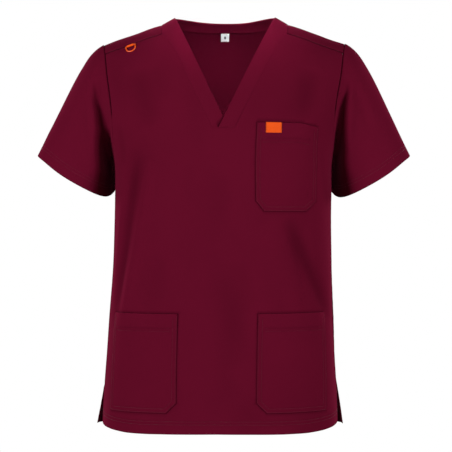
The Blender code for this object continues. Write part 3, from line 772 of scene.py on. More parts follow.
def twill(name):
    """Matt twill: fine diagonal lines, a soft nap at grazing angles, shade painted into its seams,
    rows, folds and hollows, and darker tones on the wrong side: partly the twill's duller reverse,
    partly painted shade for the inside of the garment."""
    cloth, pitch = colours().cloth, sizes().twill
    made = Recipe(name, Sheen_Weight=0.2, Sheen_Roughness=0.38, Sheen_Tint=(1, 0.1, 0.24, 1),
                  Specular_IOR_Level=0.0)
    where, u, v = made.flat()
    slub = made.noise(where, 240, 3, 0.6)
    lines = ((u + v) * (2 * math.pi / pitch) + slub * 2.2).sine() * 0.5 + 0.5
    threads = (u * (2 * math.pi * 2.6 / pitch)).sine() * 0.5 + 0.5
    cloudy = made.noise(where, 7, 3, 0.55)
    fuzz = made.noise(where, 1500, 2, 0.6)
    weave = lines * 0.55 + fuzz * 0.3
    # The wrong side takes darker tones: partly the twill's duller reverse, partly painted shade for
    # the garment's inside and its vents
    tone = made.blend(made.value_of("wrong_side"),
                      made.blend(weave, shade(cloth, 0.90), shade(cloth, 1.13)),
                      made.blend(weave, shade(cloth, 0.66), shade(cloth, 0.80)))
    tone = made.blend(cloudy, made.blend(0.16, tone, (0, 0, 0, 1)), tone)
    # Painted shade: the colour darkens in seams, stitch rows, fold valleys, pocket edges and mouths,
    # the band's lap and the armpit troughs
    tone = made.blend(made.value_of("painted_shade"), tone, shade(cloth, 0.12))
    height = lines * 0.6 + threads * 0.15 + fuzz * 0.35 + slub * 0.3
    return made.feed(Base_Color=tone, Roughness=0.82 + fuzz * 0.1,
                     Normal=made.bump(height, 0.12 * MM, 0.55))


def grained(name, colour, scale, tones, rough, bump=None, **sockets):
    """One colour with a fine grain, which changes its tone, its roughness and, in part, its relief."""
    made = Recipe(name, **sockets)
    grain = made.noise(made.object_place(), scale)
    if bump:
        made.feed(Normal=made.bump(grain, *bump))
    tone = made.blend(grain, *(shade(colour, gain) for gain in tones))
    return made.feed(Base_Color=tone, Roughness=rough[0] + grain * rough[1])


def thread(name):
    """Matt sewing thread in nearly the cloth's colour."""
    return grained(name, colours().thread, 2600, (0.85, 1.15), (0.62, 0.16), (0.08 * MM, 1.0),
                   Sheen_Weight=0.1, Specular_IOR_Level=0.15)


def ribbon_thread(name):
    """Sewing thread in the ribbon's own colour."""
    return grained(name, shade(colours().ribbon, 0.8), 2600, (0.85, 1.15), (0.55, 0.2),
                   Specular_IOR_Level=0.2)


def moulded(name):
    """Smooth moulded plastic with the faintest unevenness."""
    return grained(name, colours().ring, 420, (0.94, 1.05), (0.30, 0.12), (0.05 * MM, 0.5),
                   Specular_IOR_Level=0.5)


def ribbon(name):
    """Woven ribbon with fine ribs across it and shade painted along its border."""
    colour = colours().ribbon
    made = Recipe(name, Specular_IOR_Level=0.12)
    where, _, v = made.flat()
    ribs = (v * (2 * math.pi / RIB_PITCH)).sine() * 0.5 + 0.5
    grain = made.noise(where, 1400)
    tone = made.blend(ribs * 0.5 + grain * 0.4, shade(colour, 0.82), shade(colour, 1.12))
    # Painted shade along the border darkens the ribbon's colour
    return made.feed(Base_Color=made.blend(made.value_of("painted_shade"), tone, shade(colour, 0.45)),
                     Roughness=0.55 + grain * 0.2, Normal=made.bump(ribs + grain * 0.5, 0.1 * MM))


def label(name):
    """White woven label with one plain dark bar."""
    colour = colours().label
    made = Recipe(name, Specular_IOR_Level=0.2)
    where, u, v = made.flat()
    turns = 2 * math.pi / LABEL_WEAVE
    weave = ((u * turns).sine() + (v * turns).sine()) * 0.25
    middle = SEAM["band_back"][-1][1] + LABEL_DROP[0] + LABEL_DROP[1] / 2
    bar = (abs(u - LABEL_CENTRE) < LABEL_BAR[0]) * (abs(v - float(middle)) < LABEL_BAR[1])
    grain = made.noise(where, 1600)
    tone = made.blend(grain, shade(colour, 0.94), shade(colour, 1.03))
    return made.feed(Base_Color=made.blend(bar, tone, (0.09, 0.09, 0.1, 1)),
                     Roughness=0.62 + grain * 0.14, Normal=made.bump(weave + grain * 0.4, 0.08 * MM))


# ---------------------------------------------------------------- cloth as meshes

def piece(name, points, faces, flat=None, painted_shade=None, material=None):
    """A mesh object at the origin, with its flat coordinates and how much shade is painted at each
    point.
    """
    mesh = bpy.data.meshes.new(name)
    mesh.from_pydata(np.asarray(points).tolist(), [], [list(face) for face in faces])
    mesh.shade_smooth()
    mesh.set_sharp_from_angle(angle=math.radians(65))
    if flat is not None:
        corners = np.zeros(len(mesh.loops), np.int32)
        mesh.loops.foreach_get("vertex_index", corners)
        layer = mesh.uv_layers.new(name="flat")
        layer.data.foreach_set("uv", np.asarray(flat, np.float32)[corners].ravel())
        # Painted shade, as a share at each point
        shade_mask = mesh.attributes.new("painted_shade", "FLOAT", "POINT")
        shade_mask.data.foreach_set("value", np.asarray(painted_shade, np.float32))
    if material is not None:
        mesh.materials.append(material)
    made = bpy.data.objects.new(name, mesh)
    bpy.context.scene.collection.objects.link(made)
    return made


def wall(name, outer, inner, faces, flat, painted_shade, material, within=1):
    """A closed wall of cloth between two layers of the same triangles or quads. Within is 1 where
    the inner layer is the cloth's wrong side, and 0 where folded cloth shows its right side."""
    count = len(outer)
    sides = {(a, b) for face in faces for a, b in zip(face, face[1:] + face[:1])}
    rim = [(b, a, a + count, b + count) for a, b in sides if (b, a) not in sides]
    back = [tuple(corner + count for corner in reversed(face)) for face in faces]
    made = piece(name, np.vstack([outer, inner]), list(faces) + back + sorted(rim),
                 np.vstack([flat, flat]), np.concatenate([painted_shade, painted_shade]), material)
    wrong_side = made.data.attributes.new("wrong_side", "FLOAT", "POINT")
    wrong_side.data.foreach_set("value", np.repeat(np.array([0, within], np.float32), count))
    return made


class Layers:
    """Heights of a cloth's two faces off its middle layer, and how much shade is painted into its
    colour.
    """

    def __init__(self, flat, low=-CLOTH / 2, high=CLOTH / 2):
        self.flat = flat
        self.low, self.high = (np.broadcast_to(v, len(flat)).astype(float).copy() for v in (low, high))
        self.painted_shade = np.zeros(len(flat))

    # Paints shade into the cloth's colour, keeping the deeper share at each point
    def darken(self, share):
        self.painted_shade = np.maximum(self.painted_shade, share)

    def both(self, amount):
        self.low += amount
        self.high += amount

    def seam(self, away, depth=0.9, shade_share=0.7, reach=1.3, shade_width=0.8, share=1.0):
        """The edge turns in towards its seam, by a share that may vary along it, and shade is painted
        along the seam.
        """
        near = bell(away, reach * MM) * share
        self.high -= depth * MM * near
        self.low -= 0.7 * depth * MM * near
        self.darken(shade_share * bell(away, shade_width * MM) * share)

    def turned(self, away, depth):
        """The edge is folded inward, so it is rounded and two layers thick."""
        self.low -= 0.7 * MM * (1 - ease((away - depth) / (1.6 * MM)))
        middle, half = (self.low + self.high) / 2, (self.high - self.low) / 2
        half = half * (0.22 + 0.78 * rounded(away))
        self.low, self.high = middle - half, middle + half

    def rows(self, away, depth=0.32, shade_share=0.22):
        """Stitches pull the cloth down along their row, and shade is painted along it."""
        self.high -= depth * MM * bell(away, 0.85 * MM)
        self.darken(shade_share * bell(away, 0.8 * MM))

    def puckers(self, away, height=0.22, reach=8.0):
        """Sewing draws the cloth up in short puckers, which die away from the seam."""
        self.both(height * MM * np.exp(-away / (reach * MM)) * ripple(*self.flat.T))

    def on_torso(self, name, faces, material, within=1):
        points, normal = torso(*self.flat.T)
        return wall(name, points + normal * self.high[:, None], points + normal * self.low[:, None],
                    faces, self.flat, self.painted_shade, material, within)


def grid_faces(rows, columns, around=False):
    """Quads between the points of a grid, and from its last column to its first."""
    last = columns if around else columns - 1
    return [(r * columns + c, r * columns + (c + 1) % columns,
             (r + 1) * columns + (c + 1) % columns, (r + 1) * columns + c)
            for r in range(rows - 1) for c in range(last)]


def grid_normals(rings, around=False):
    """Directions square to a grid of points."""
    down = np.gradient(rings, axis=0)
    if around:
        over = np.roll(rings, -1, axis=1) - np.roll(rings, 1, axis=1)
    else:
        over = np.gradient(rings, axis=1)
    return unit(np.cross(over, down))


def tube_normals(rings):
    """Directions out of a tube of points."""
    facing = grid_normals(rings, around=True)
    outward = np.sum(facing[0] * (rings[0] - rings[0].mean(axis=0))) > 0
    return facing if outward else -facing


def stitch_faces():
    """The faces of one stitch: a tube with both its ends closed."""
    sides, last = STITCH_SIDES, len(STITCH["along"]) - 1
    faces = [(r * sides + (s + 1) % sides, (r + 1) * sides + (s + 1) % sides,
              (r + 1) * sides + s, r * sides + s) for r in range(last) for s in range(sides)]
    return faces + [tuple(reversed(range(sides))), tuple(range(last * sides, (last + 1) * sides))]


def sew(name, runs):
    """One short bent thread for each stitch, along runs of points with their outward directions."""
    half, radius = sizes().stitch_length / 2, sizes().thread / 2
    turn = np.arange(STITCH_SIDES) * 2 * math.pi / STITCH_SIDES
    shape = stitch_faces()
    points, faces = [], []
    for line, normal in runs:
        run = runs_of(line)
        where = np.arange(half * 1.6, run[-1] - half * 1.2, sizes().stitch_pitch)
        spot, up = at_runs(line, where), unit(at_runs(normal, where, run))
        along = at_runs(line, where + half * 0.5) - spot
        along = unit(along - up * np.sum(along * up, axis=1, keepdims=True))
        beside = np.cross(along, up)
        for centre, t, n, b in zip(spot, along, up, beside):
            first = len(points)
            for step, size, lift in zip(*STITCH.values()):
                middle = centre + t * step * half + n * lift * radius
                points += [middle + (b * math.cos(a) + n * math.sin(a)) * radius * size for a in turn]
            faces += [tuple(first + corner for corner in face) for face in shape]
    made = piece(name, points, faces, material=once("sewing_thread", thread))
    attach(made, "top")
    return made


def on_surface(lines, height):
    """Flat lines as runs of points, at a height over the cloth's middle layer."""
    runs = []
    for line in lines:
        line = path(line, 1.5 * MM)
        points, normal = torso(*line.T)
        lift = height(line) if callable(height) else np.full(len(line), height)
        runs.append((points + normal * lift[:, None], normal))
    return runs


def finish_cloth(made, node, outline=None, cut=None, area=None):
    """Puts a cloth piece on its body in its node's place and hides the node's solid; the cut that it
    was made from is worked out but not kept.
    """
    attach(made, "top")
    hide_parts(node)
    if outline is not None:
        cut = tuple(float(side) for side in outline.max(axis=0) - outline.min(axis=0))
        area = abs(float(signed_area(outline)))


# ---------------------------------------------------------------- panels

def hem_line(level, side):
    """From the centre of a hem to its vent, where the hem rises a little."""
    rise = HEM_RISE["front" if side > 0 else "back"]
    corners = np.stack([SIDE + HEM_RISE["short"] * MM, level + side * rise * MM], axis=1)
    return path(np.vstack([(0, level), corners]), EDGE_STEP)


def vent_edge(level, side):
    """A vent's edge, from the hem up to where the side seam starts."""
    start = hem_line(level, side)[-1]
    return path([start, (SIDE, level + side * (VENT_TOP_Z - HEM_Z) * MM)], EDGE_STEP)


def front_outline():
    """From the hem's centre up the wearer's left side, along its seams to the V, and back mirrored."""
    half = np.vstack([SEAM["arm_front"][::-1], SEAM["shoulder"][::-1][1:],
                      SEAM["band_front"][::-1][1:]])
    hem = hem_line(HEM_FRONT, 1)
    side = path([hem[-1], half[0]], EDGE_STEP)
    right = np.vstack([hem[1:], side[1:], half[1:]])
    return np.vstack([right, mirrored(right), hem[:1]])


def back_outline():
    """The back's, over the shoulders to the neck, reversed so that both turn the same way."""
    half = np.vstack([SEAM["arm_back"][::-1], SEAM["arm_top"][::-1][1:], SEAM["shoulder"][::-1][1:],
                      SEAM["band_back"][1:]])
    hem = hem_line(HEM_BACK, -1)
    side = path([hem[-1], half[0]], EDGE_STEP)
    right = np.vstack([hem[1:], side[1:], half[1:-1]])
    return np.vstack([right, SEAM["band_back"][-1:], mirrored(right), hem[:1]])[::-1]


def hem_rows(level, side):
    """Rows along the hem and up both edges of the vents."""
    rows = []
    for rise in HEM_ROWS:
        half = hem_line(level, side) + (0, side * rise * MM)
        half = half[half[:, 0] < SIDE - 1.0 * MM]
        rows.append(np.vstack([mirrored(half[1:]), half]))
    edge = vent_edge(level, side)
    for step in VENT_ROWS:
        rows += both_sides([edge[1:] - (step * MM, 0)])
    return rows


def sewn_sides(corners):
    """The way round a pocket's corners that leaves out its mouth, which is its first two sides."""
    return path(np.vstack([corners[2:], corners[:1]]), EDGE_STEP)


def pocket_lines(corners, mirror=False):
    """A pocket's lines on the surface."""
    corners = place_all(corners)
    sides = [path(side, EDGE_STEP)[:-1] for side in zip(corners, np.roll(corners, -1, axis=0))]
    flip = (-1, 1) if mirror else (1, 1)
    return {
        "outline": np.vstack(sides) * flip,
        "sewn": sewn_sides(corners) * flip,
        "mouth": corners[:3] * flip,
        "rows": [sewn_sides(inset(corners, step * MM)) * flip for step in POCKET_ROWS],
    }


def build_front():
    """The front panel, with shade painted in its fold valleys, along its pockets' sewn edges and above
    their mouths.
    """
    outline = inset(front_outline(), CUT_GAP / 2)
    rows = hem_rows(HEM_FRONT, 1)
    pockets = [pocket_lines(CHEST_POCKET), pocket_lines(LOWER_POCKET),
               pocket_lines(LOWER_POCKET, True)]
    patches = [pocket["sewn"] for pocket in pockets]
    mouths = [path(pocket["mouth"], EDGE_STEP) + (0, MOUTH_LINE) for pocket in pockets]
    flat, faces = fill(outline, rows + patches + mouths)
    side = path([vent_edge(HEM_FRONT, 1)[-1], SEAM["arm_front"][-1]], EDGE_STEP)
    band = distance(flat, both_sides([SEAM["band_front"]]) + [SEAM["band_base"]])
    shoulder, arm, side = (distance(flat, both_sides([line]))
                           for line in (SEAM["shoulder"], SEAM["arm_front"], side))
    height = torso(*flat.T)[0][:, 2]
    joined = np.min([band, shoulder, arm, side], axis=0)
    hem = distance(flat, both_sides([hem_line(HEM_FRONT, 1), vent_edge(HEM_FRONT, 1)]))
    row = distance(flat, rows)
    cloth = Layers(flat)
    cloth.turned(hem, sizes().hem_depth)
    cloth.seam(band, 0.2, 0.05)
    cloth.seam(side)
    cloth.seam(shoulder, 1.0, 1.0, 1.4, 1.3)
    cloth.seam(arm, 0.9, 0.95, share=above_armpit(height))
    cloth.rows(row)
    cloth.puckers(np.minimum(joined, row))
    # Painted shade in the fold valleys, along the pockets' sewn edges and above their mouths
    cloth.darken(DARKNESS["front_fold"] * hollows(*flat.T))
    cloth.darken(DARKNESS["pocket_edge"] * bell(distance(flat, patches), 1.1 * MM))
    cloth.darken(DARKNESS["pocket_mouth"] * bell(distance(flat, mouths), 1.0 * MM))
    made = cloth.on_torso("front_cloth", faces, once("wine_twill", twill))
    sewn = sew("front_stitching", on_surface(rows, CLOTH / 2 - THREAD_SINK))
    finish_cloth(made, "front_panel", outline)


def build_back():
    """The back panel, with its stitched seam in front of the shoulders."""
    outline = inset(back_outline(), CUT_GAP / 2)
    beside = SEAM["shoulder"][2:-2] + (0, 1.9 * MM)
    rows = hem_rows(HEM_BACK, -1) + both_sides([beside])
    flat, faces = fill(outline, rows)
    side = path([vent_edge(HEM_BACK, -1)[-1], SEAM["arm_back"][-1]], EDGE_STEP)
    joined = distance(flat, both_sides([SEAM["arm_back"], SEAM["band_back"], side]))
    over = distance(flat, both_sides([SEAM["arm_top"]]))
    hem = distance(flat, both_sides([hem_line(HEM_BACK, -1), vent_edge(HEM_BACK, -1)]))
    row = distance(flat, rows)
    yoke = distance(flat, both_sides([SEAM["shoulder"]]))
    cloth = Layers(flat)
    cloth.turned(hem, sizes().hem_depth)
    cloth.seam(joined)
    cloth.seam(over, 0.1, 0.4)
    cloth.seam(yoke, 0.8, 1.0, 1.4, 1.3)
    cloth.rows(row)
    cloth.puckers(np.minimum(joined, row))
    cloth.puckers(yoke, 0.12, 12)
    # Painted shade in the fold valleys
    cloth.darken(DARKNESS["back_fold"] * hollows(*flat.T))
    made = cloth.on_torso("back_cloth", faces, once("wine_twill", twill))
    sewn = sew("back_stitching", on_surface(rows, CLOTH / 2 - THREAD_SINK))
    finish_cloth(made, "back_panel", outline)


# ---------------------------------------------------------------- neckband

def band_grid():
    """The neckband's points on the surface, in rows across it from the end that lies on top, and
    where its other half starts. With them come its folded edge and the end that lies on top."""
    outer = np.vstack([SEAM["band_front"], SEAM["band_back"][1:]])
    turn = len(SEAM["band_front"])
    tip = place_all([(-NECK_LAP, NECK_BASE_Z), (0, NECK_TIP_Z)])
    z = np.linspace(NECK_TIP_Z, 0, 160)[1:]
    rise = place((z - NECK_TIP_Z) / -NECK_TIP_Z * NECK_HALF, z)
    arc = neck_arc(NECK_HALF, NECK_EDGE_DROP, 0.9, 1.2)
    split = np.searchsorted(rise[:, 1], SEAM["band_front"][-1, 1])
    back_run = spread(np.vstack([rise[split:-1], arc]), len(outer) - turn + 1)
    share = np.array(BAND_COLUMNS)[None, :, None]

    def half(start):
        front_run = spread(np.vstack([start, rise[:split + 1]]), turn)
        return np.vstack([front_run, back_run[1:]])[:, None] * (1 - share) + outer[:, None] * share

    left, right = half(tip), half(tip[1:])
    right[0] = spread(place_all([(0, NECK_TIP_Z), (NECK_LAP, NECK_BASE_Z),
                                 (NECK_BASE_HALF, NECK_BASE_Z)]), len(BAND_COLUMNS))
    # The right end stops a little short of the line where the left end crosses it
    right[0, :, 0] += CUT_GAP
    folded = [np.vstack([tip, rise, arc]), mirrored(np.vstack([tip[1:], rise, arc]))]
    return np.vstack([left, mirrored(right)[1:]]), len(left), folded, tip


def build_neckband():
    """One strip round the neck. Its wearer's-left end is laid across the other at the V."""
    strip, left_rows, folded_edge, tip = band_grid()
    rows, columns = strip.shape[:2]
    flat = strip.reshape(-1, 2)
    folded = distance(flat, folded_edge)
    joined = distance(flat, both_sides([SEAM["band_front"], SEAM["band_back"]]) + [SEAM["band_base"]])
    is_left = np.repeat(np.arange(rows) < left_rows, columns)
    lap_line = distance(flat, [tip])
    cloth = Layers(flat, -BAND_CLOTH / 2, BAND_CLOTH / 2)
    cloth.turned(np.where(is_left | (lap_line > 4 * MM), folded, 1), 30 * MM)
    cloth.both(0.2 * MM * bell(joined - 12 * MM, 9 * MM))
    cloth.both(0.05 * MM)
    cloth.seam(joined, 0.4, 0.05)
    cloth.both(np.where(is_left, 0.8, -0.5) * MM * bell(lap_line, 20 * MM))
    # Painted shadow on the under end, along the line where the top end crosses it
    cloth.darken(np.where(is_left, 0, DARKNESS["lap"]) * bell(lap_line, 1.6 * MM))
    cloth.puckers(joined, 0.2, 7)
    made = cloth.on_torso("neckband_cloth", grid_faces(rows, columns), once("wine_twill", twill),
                          within=0)
    finish_cloth(made, "neckband", cut=BAND_CUT, area=BAND_AREA)


# ---------------------------------------------------------------- sleeves

def armhole_loop(sign):
    """The armhole's points from its top round by the front, as on the wearer's right, with the
    directions out of the seam and the degrees round."""
    loop = np.vstack([SEAM["arm_top"][::-1][:-1], SEAM["arm_front"], SEAM["arm_back"][::-1][1:-1]])
    loop = loop * (-1, 1)
    points, normal = torso(sign * -loop[:, 0], loop[:, 1])
    if sign > 0:
        points, normal = points * (-1, 1, 1), normal * (-1, 1, 1)
    ahead, behind = np.roll(points, -1, axis=0), np.roll(points, 1, axis=0)
    out = unit(np.cross(unit(ahead - behind), normal))
    under = len(SEAM["arm_top"]) + len(SEAM["arm_front"]) - 2
    step = np.linalg.norm(ahead - points, axis=1)
    front_run = np.concatenate([[0], np.cumsum(step[:under])])
    back_run = np.concatenate([[0], np.cumsum(step[under:])])
    turn = np.concatenate([180 * front_run[:-1] / front_run[-1],
                           180 + 180 * back_run[:-1] / back_run[-1]])
    return points, out, turn


def hem_ring(turn, fold, sign):
    """The hem's points: a leaning ring, lifted and set back under the arm."""
    axis = np.array([-math.sin(SLEEVE_LEAN), 0, -math.cos(SLEEVE_LEAN)])
    inward = np.array([math.cos(SLEEVE_LEAN), 0, -math.sin(SLEEVE_LEAN)])
    forward = np.array([0, -math.cos(SLEEVE_TILT), 0]) + axis * math.sin(SLEEVE_TILT)
    angle = np.radians(turn)[:, None]
    size = {key: values[SLEEVE_RING["side"] == sign][0] * MM for key, values in SLEEVE_RING.items()}
    ring = (np.array([size["x"], size["y"], size["z"]])
            - inward * size["half_width"] * np.cos(angle)
            + forward * size["half_depth"] * np.sin(angle))
    ring[:, 1] += SLEEVE_BACK[0] * bell(180 - fold, SLEEVE_BACK[1])
    ring[:, 2] += (SLEEVE_LIFT[0] * bell(180 - fold, SLEEVE_LIFT[1])
                   + SLEEVE_TIP[0] * bell(fold - SLEEVE_TIP[1], SLEEVE_TIP[2]))
    return ring


def sleeve_grid(sign):
    """The sleeve's middle layer in columns from the armhole to the hem, as on the wearer's right."""
    points, out, turn = armhole_loop(sign)
    column = {key: smooth(SLEEVE["turn"], SLEEVE[key]) for key in SLEEVE if key != "turn"}
    fold = np.where(turn > 180, 360 - turn, turn)
    leave = unit(np.stack([-column["out"](fold), 0 * fold, -column["down"](fold)], axis=1))
    arrive = unit(np.stack([-column["end_out"](fold), 0 * fold, -column["end_down"](fold)], axis=1))
    ring = hem_ring(turn, fold, sign)
    start = points + out * (CUT_GAP * 0.6 + CLOTH * 0.3 * ease((fold - 12) / 40))[:, None]
    one = start + leave * column["reach"](fold)[:, None] * MM
    two = ring - arrive * column["end_reach"](fold)[:, None] * MM
    # A curve from the armhole to the hem in each column
    rise = np.linspace(0, 1, 90)[:, None, None] ** 1.15
    rings = (start * (1 - rise) ** 3 + 3 * one * rise * (1 - rise) ** 2
             + 3 * two * rise ** 2 * (1 - rise) + ring * rise ** 3)
    length = np.array([runs_of(rings[:, c])[-1] for c in range(rings.shape[1])])
    rows = np.array(HEM_ROWS[::-1])
    ends = np.concatenate([[rows[0] + 3], *([r + 0.9, r, r - 0.9] for r in rows),
                           [11, 7, 4], EDGE_RINGS[::-1], [0]]) * MM
    grid, away = [], []
    for c in range(rings.shape[1]):
        middle = np.linspace(EDGE_RINGS[-1] * MM, length[c] - ends[0], SLEEVE_ROWS)[1:-1]
        where = np.concatenate([[0], np.array(EDGE_RINGS) * MM, middle, length[c] - ends])
        grid.append(at_runs(rings[:, c], where))
        away.append(where)
    grid, away = np.stack(grid, axis=1), np.stack(away, axis=1)
    # With the points: their distances from the armhole and from the hem
    return grid, away, length - away, turn, length


def fall_back(grid, start, turn, sign):
    """Lays the sleeve's front back into the trough beside the trunk, and gives the share of shade
    painted in it.
    """
    trough = {key: values[ARMPIT["side"] == sign][::-1] for key, values in ARMPIT.items()}
    x, width, inner, depth, swell = (smooth(trough["z"], trough[key])(grid[..., 2] / MM) * MM
                                     for key in ("x", "width", "inner", "depth", "swell"))
    off = -grid[..., 0] - x
    off = off / np.where(off < 0, inner, width)
    hollow = np.exp(-np.abs(off) ** 3)
    back = depth * hollow - swell * bell(off - 2.1, 0.9)
    free = ease(start / (6 * MM)) * ease((179 - turn) / 20) * ease(turn / 40)
    # How much shade is painted in the trough, growing below ARMPIT_DARK_Z
    shade_mask = hollow * free * ease((ARMPIT_DARK_Z * MM - grid[..., 2]) / (30 * MM))
    return grid + np.stack([0 * back, back * free, 0 * back], axis=-1), shade_mask


def sleeve_folds(turn, share, sign):
    """How far the sleeve's folds lift its cloth."""
    lift = np.zeros(share.shape)
    for side, at, at_end, width, first, last, height in zip(*SLEEVE_FOLDS.values()):
        if side not in (0, sign):
            continue
        t = (share - first) / (last - first)
        centre = at + (at_end - at) * np.clip(t, 0, 1)
        gap = (turn - centre + 180) % 360 - 180
        body = np.where((t > 0) & (t < 1), np.sin(np.clip(t, 0, 1) * math.pi) ** 0.8, 0)
        lift += height * MM * bell(gap, width) * body
    return lift


def tube_area(rings):
    """The area of a tube of points, from the diagonals of its quads."""
    quads = np.concatenate([rings, rings[:, :1]], axis=1)
    across = np.cross(quads[1:, 1:] - quads[:-1, :-1], quads[1:, :-1] - quads[:-1, 1:])
    return float(np.linalg.norm(across, axis=-1).sum() / 2)


def build_sleeve(node, sign):
    """A set-in sleeve, built as on the wearer's right and turned over for the left."""
    grid, start, end, turn, length = sleeve_grid(sign)
    area = tube_area(grid)
    grid, shade_mask = fall_back(grid, start, turn, sign)
    grid = grid + tube_normals(grid) * sleeve_folds(turn, start / length, sign)[..., None]
    facing = tube_normals(grid)
    # The seam shows less at the sleeve's top, and in front at the armpit
    from_top = np.minimum(turn, 360 - turn)
    shows = 0.4 + 0.6 * ease((from_top - 10) / 12)
    shows = np.where(turn < 180, above_armpit(grid[0, :, 2]), 1) * shows
    groove = 0.1 + 0.8 * ease((from_top - 8) / 25)
    if sign > 0:
        grid, facing = (a[:, ::-1] * (-1, 1, 1) for a in (grid, facing))
        start, end, shade_mask, shows, groove = (a[..., ::-1] for a in (start, end, shade_mask, shows, groove))
    rows, columns = start.shape
    around = np.broadcast_to(runs_of(grid[rows // 2]), start.shape)
    flat = np.stack([around, -start], axis=-1).reshape(-1, 2)
    away, hem = start.ravel(), end.ravel()
    row = np.min([np.abs(hem - r * MM) for r in HEM_ROWS], axis=0)
    cloth = Layers(flat)
    cloth.turned(hem, sizes().hem_depth)
    cloth.seam(away, np.broadcast_to(groove, start.shape).ravel(), 0.95,
               share=np.broadcast_to(shows, start.shape).ravel())
    cloth.rows(row, 0.15, 0.05)
    cloth.puckers(np.minimum(away, row), 0.2, 7)
    # Painted shade in the armpit trough
    cloth.darken(DARKNESS["armpit"] * shade_mask.ravel())
    points, normal = grid.reshape(-1, 3), facing.reshape(-1, 3)
    faces = [face[::-1] for face in grid_faces(rows, columns, around=True)]
    made = wall(node + "_cloth", points + normal * cloth.high[:, None],
                points + normal * cloth.low[:, None], faces, flat, cloth.painted_shade,
                once("wine_twill", twill))
    lines = []
    for rise in HEM_ROWS:
        index = int(np.argmin(np.abs(end[:, 0] - rise * MM)))
        out = closed(facing[index])
        lines.append((closed(grid[index]) + out * (CLOTH / 2 - 0.15 * MM), out))
    sewn = sew(node + "_stitching", lines)
    widest = max(float(runs_of(closed(ring))[-1]) for ring in (grid[0], grid[-1]))
    finish_cloth(made, node, cut=(widest, float(length.max())), area=area)


# ---------------------------------------------------------------- pockets

def mouth_stand(flat, outline):
    """How far a pocket's cloth stands off at its open top edge."""
    left, right = outline[:, 0].min(), outline[:, 0].max()
    top = outline[:, 1].max()
    share = np.clip(2 * (flat[:, 0] - left) / (right - left) - 1, -1, 1)
    return MOUTH_STAND * (1 - share ** 6) * ease(1 - (top - flat[:, 1]) / MOUTH_REACH)


def below_mouth(mouth, drop):
    """A row that follows the mouth, so far below it and stopping short of the sides."""
    row = path(mouth, EDGE_STEP) - (0, drop * MM)
    low, high = sorted((mouth[0, 0], mouth[-1, 0]))
    return row[(row[:, 0] > low + ROW_SHORT * MM) & (row[:, 0] < high - ROW_SHORT * MM)]


def build_pocket(node, corners, mirror, bands):
    """A patch, doubled along its turned edges and below its mouth."""
    lines = pocket_lines(corners, mirror)
    outline = lines["outline"]
    rows = [row[row[:, 1] < outline[:, 1].max() - 1.2 * MM] for row in lines["rows"]]
    rows += [below_mouth(lines["mouth"], drop) for drop in bands]
    flat, faces = fill(outline, rows, grid=POCKET_GRID)
    edge, open_edge = distance(flat, [lines["sewn"]]), distance(flat, [lines["mouth"]])
    row = distance(flat, rows)
    puff = 0.55 * MM * ease((np.minimum(edge, open_edge + 12 * MM) - 8 * MM) / (16 * MM))
    low = POCKET_BASE + mouth_stand(flat, outline)
    cloth = Layers(flat, low, low + POCKET_CLOTH)
    band = 1 - ease((open_edge - bands[0] * MM) / (1.4 * MM))
    turned = 1 - ease((edge - 8.6 * MM) / (1.6 * MM))
    cloth.high += POCKET_HEM * np.maximum(band, turned) + puff
    cloth.low += puff * 0.8
    thick = 0.35 + 0.65 * rounded(np.minimum(edge, open_edge))
    cloth.high = cloth.low + (cloth.high - cloth.low) * thick
    cloth.rows(row, 0.3, 0.18)
    cloth.high += 0.16 * MM * np.exp(-row / (6 * MM)) * ripple(*flat.T)
    # Painted shade along the pocket's own sewn edge
    cloth.darken(DARKNESS["pocket_edge"] * bell(edge, 0.7 * MM))
    made = cloth.on_torso(node + "_cloth", faces, once("wine_twill", twill))

    def top(line):
        return POCKET_BASE + mouth_stand(line, outline) + POCKET_CLOTH + POCKET_HEM - THREAD_SINK

    sewn = sew(node + "_stitching", on_surface(rows, top))
    finish_cloth(made, node, outline)


# ---------------------------------------------------------------- ribbons and label

def woven(name, centre, normal, thickness, flat, border):
    """A ribbon through a grid of points, with shade painted along its border by a share."""
    rows, columns = centre.shape[:2]
    points, out = centre.reshape(-1, 3), normal.reshape(-1, 3) * (thickness / 2)
    painted_shade = np.zeros((rows, columns))
    painted_shade[:, [1, -2]] = border
    return wall(name, points + out, points - out, grid_faces(rows, columns), flat.reshape(-1, 2),
                painted_shade.ravel(), once("woven_ribbon", ribbon))


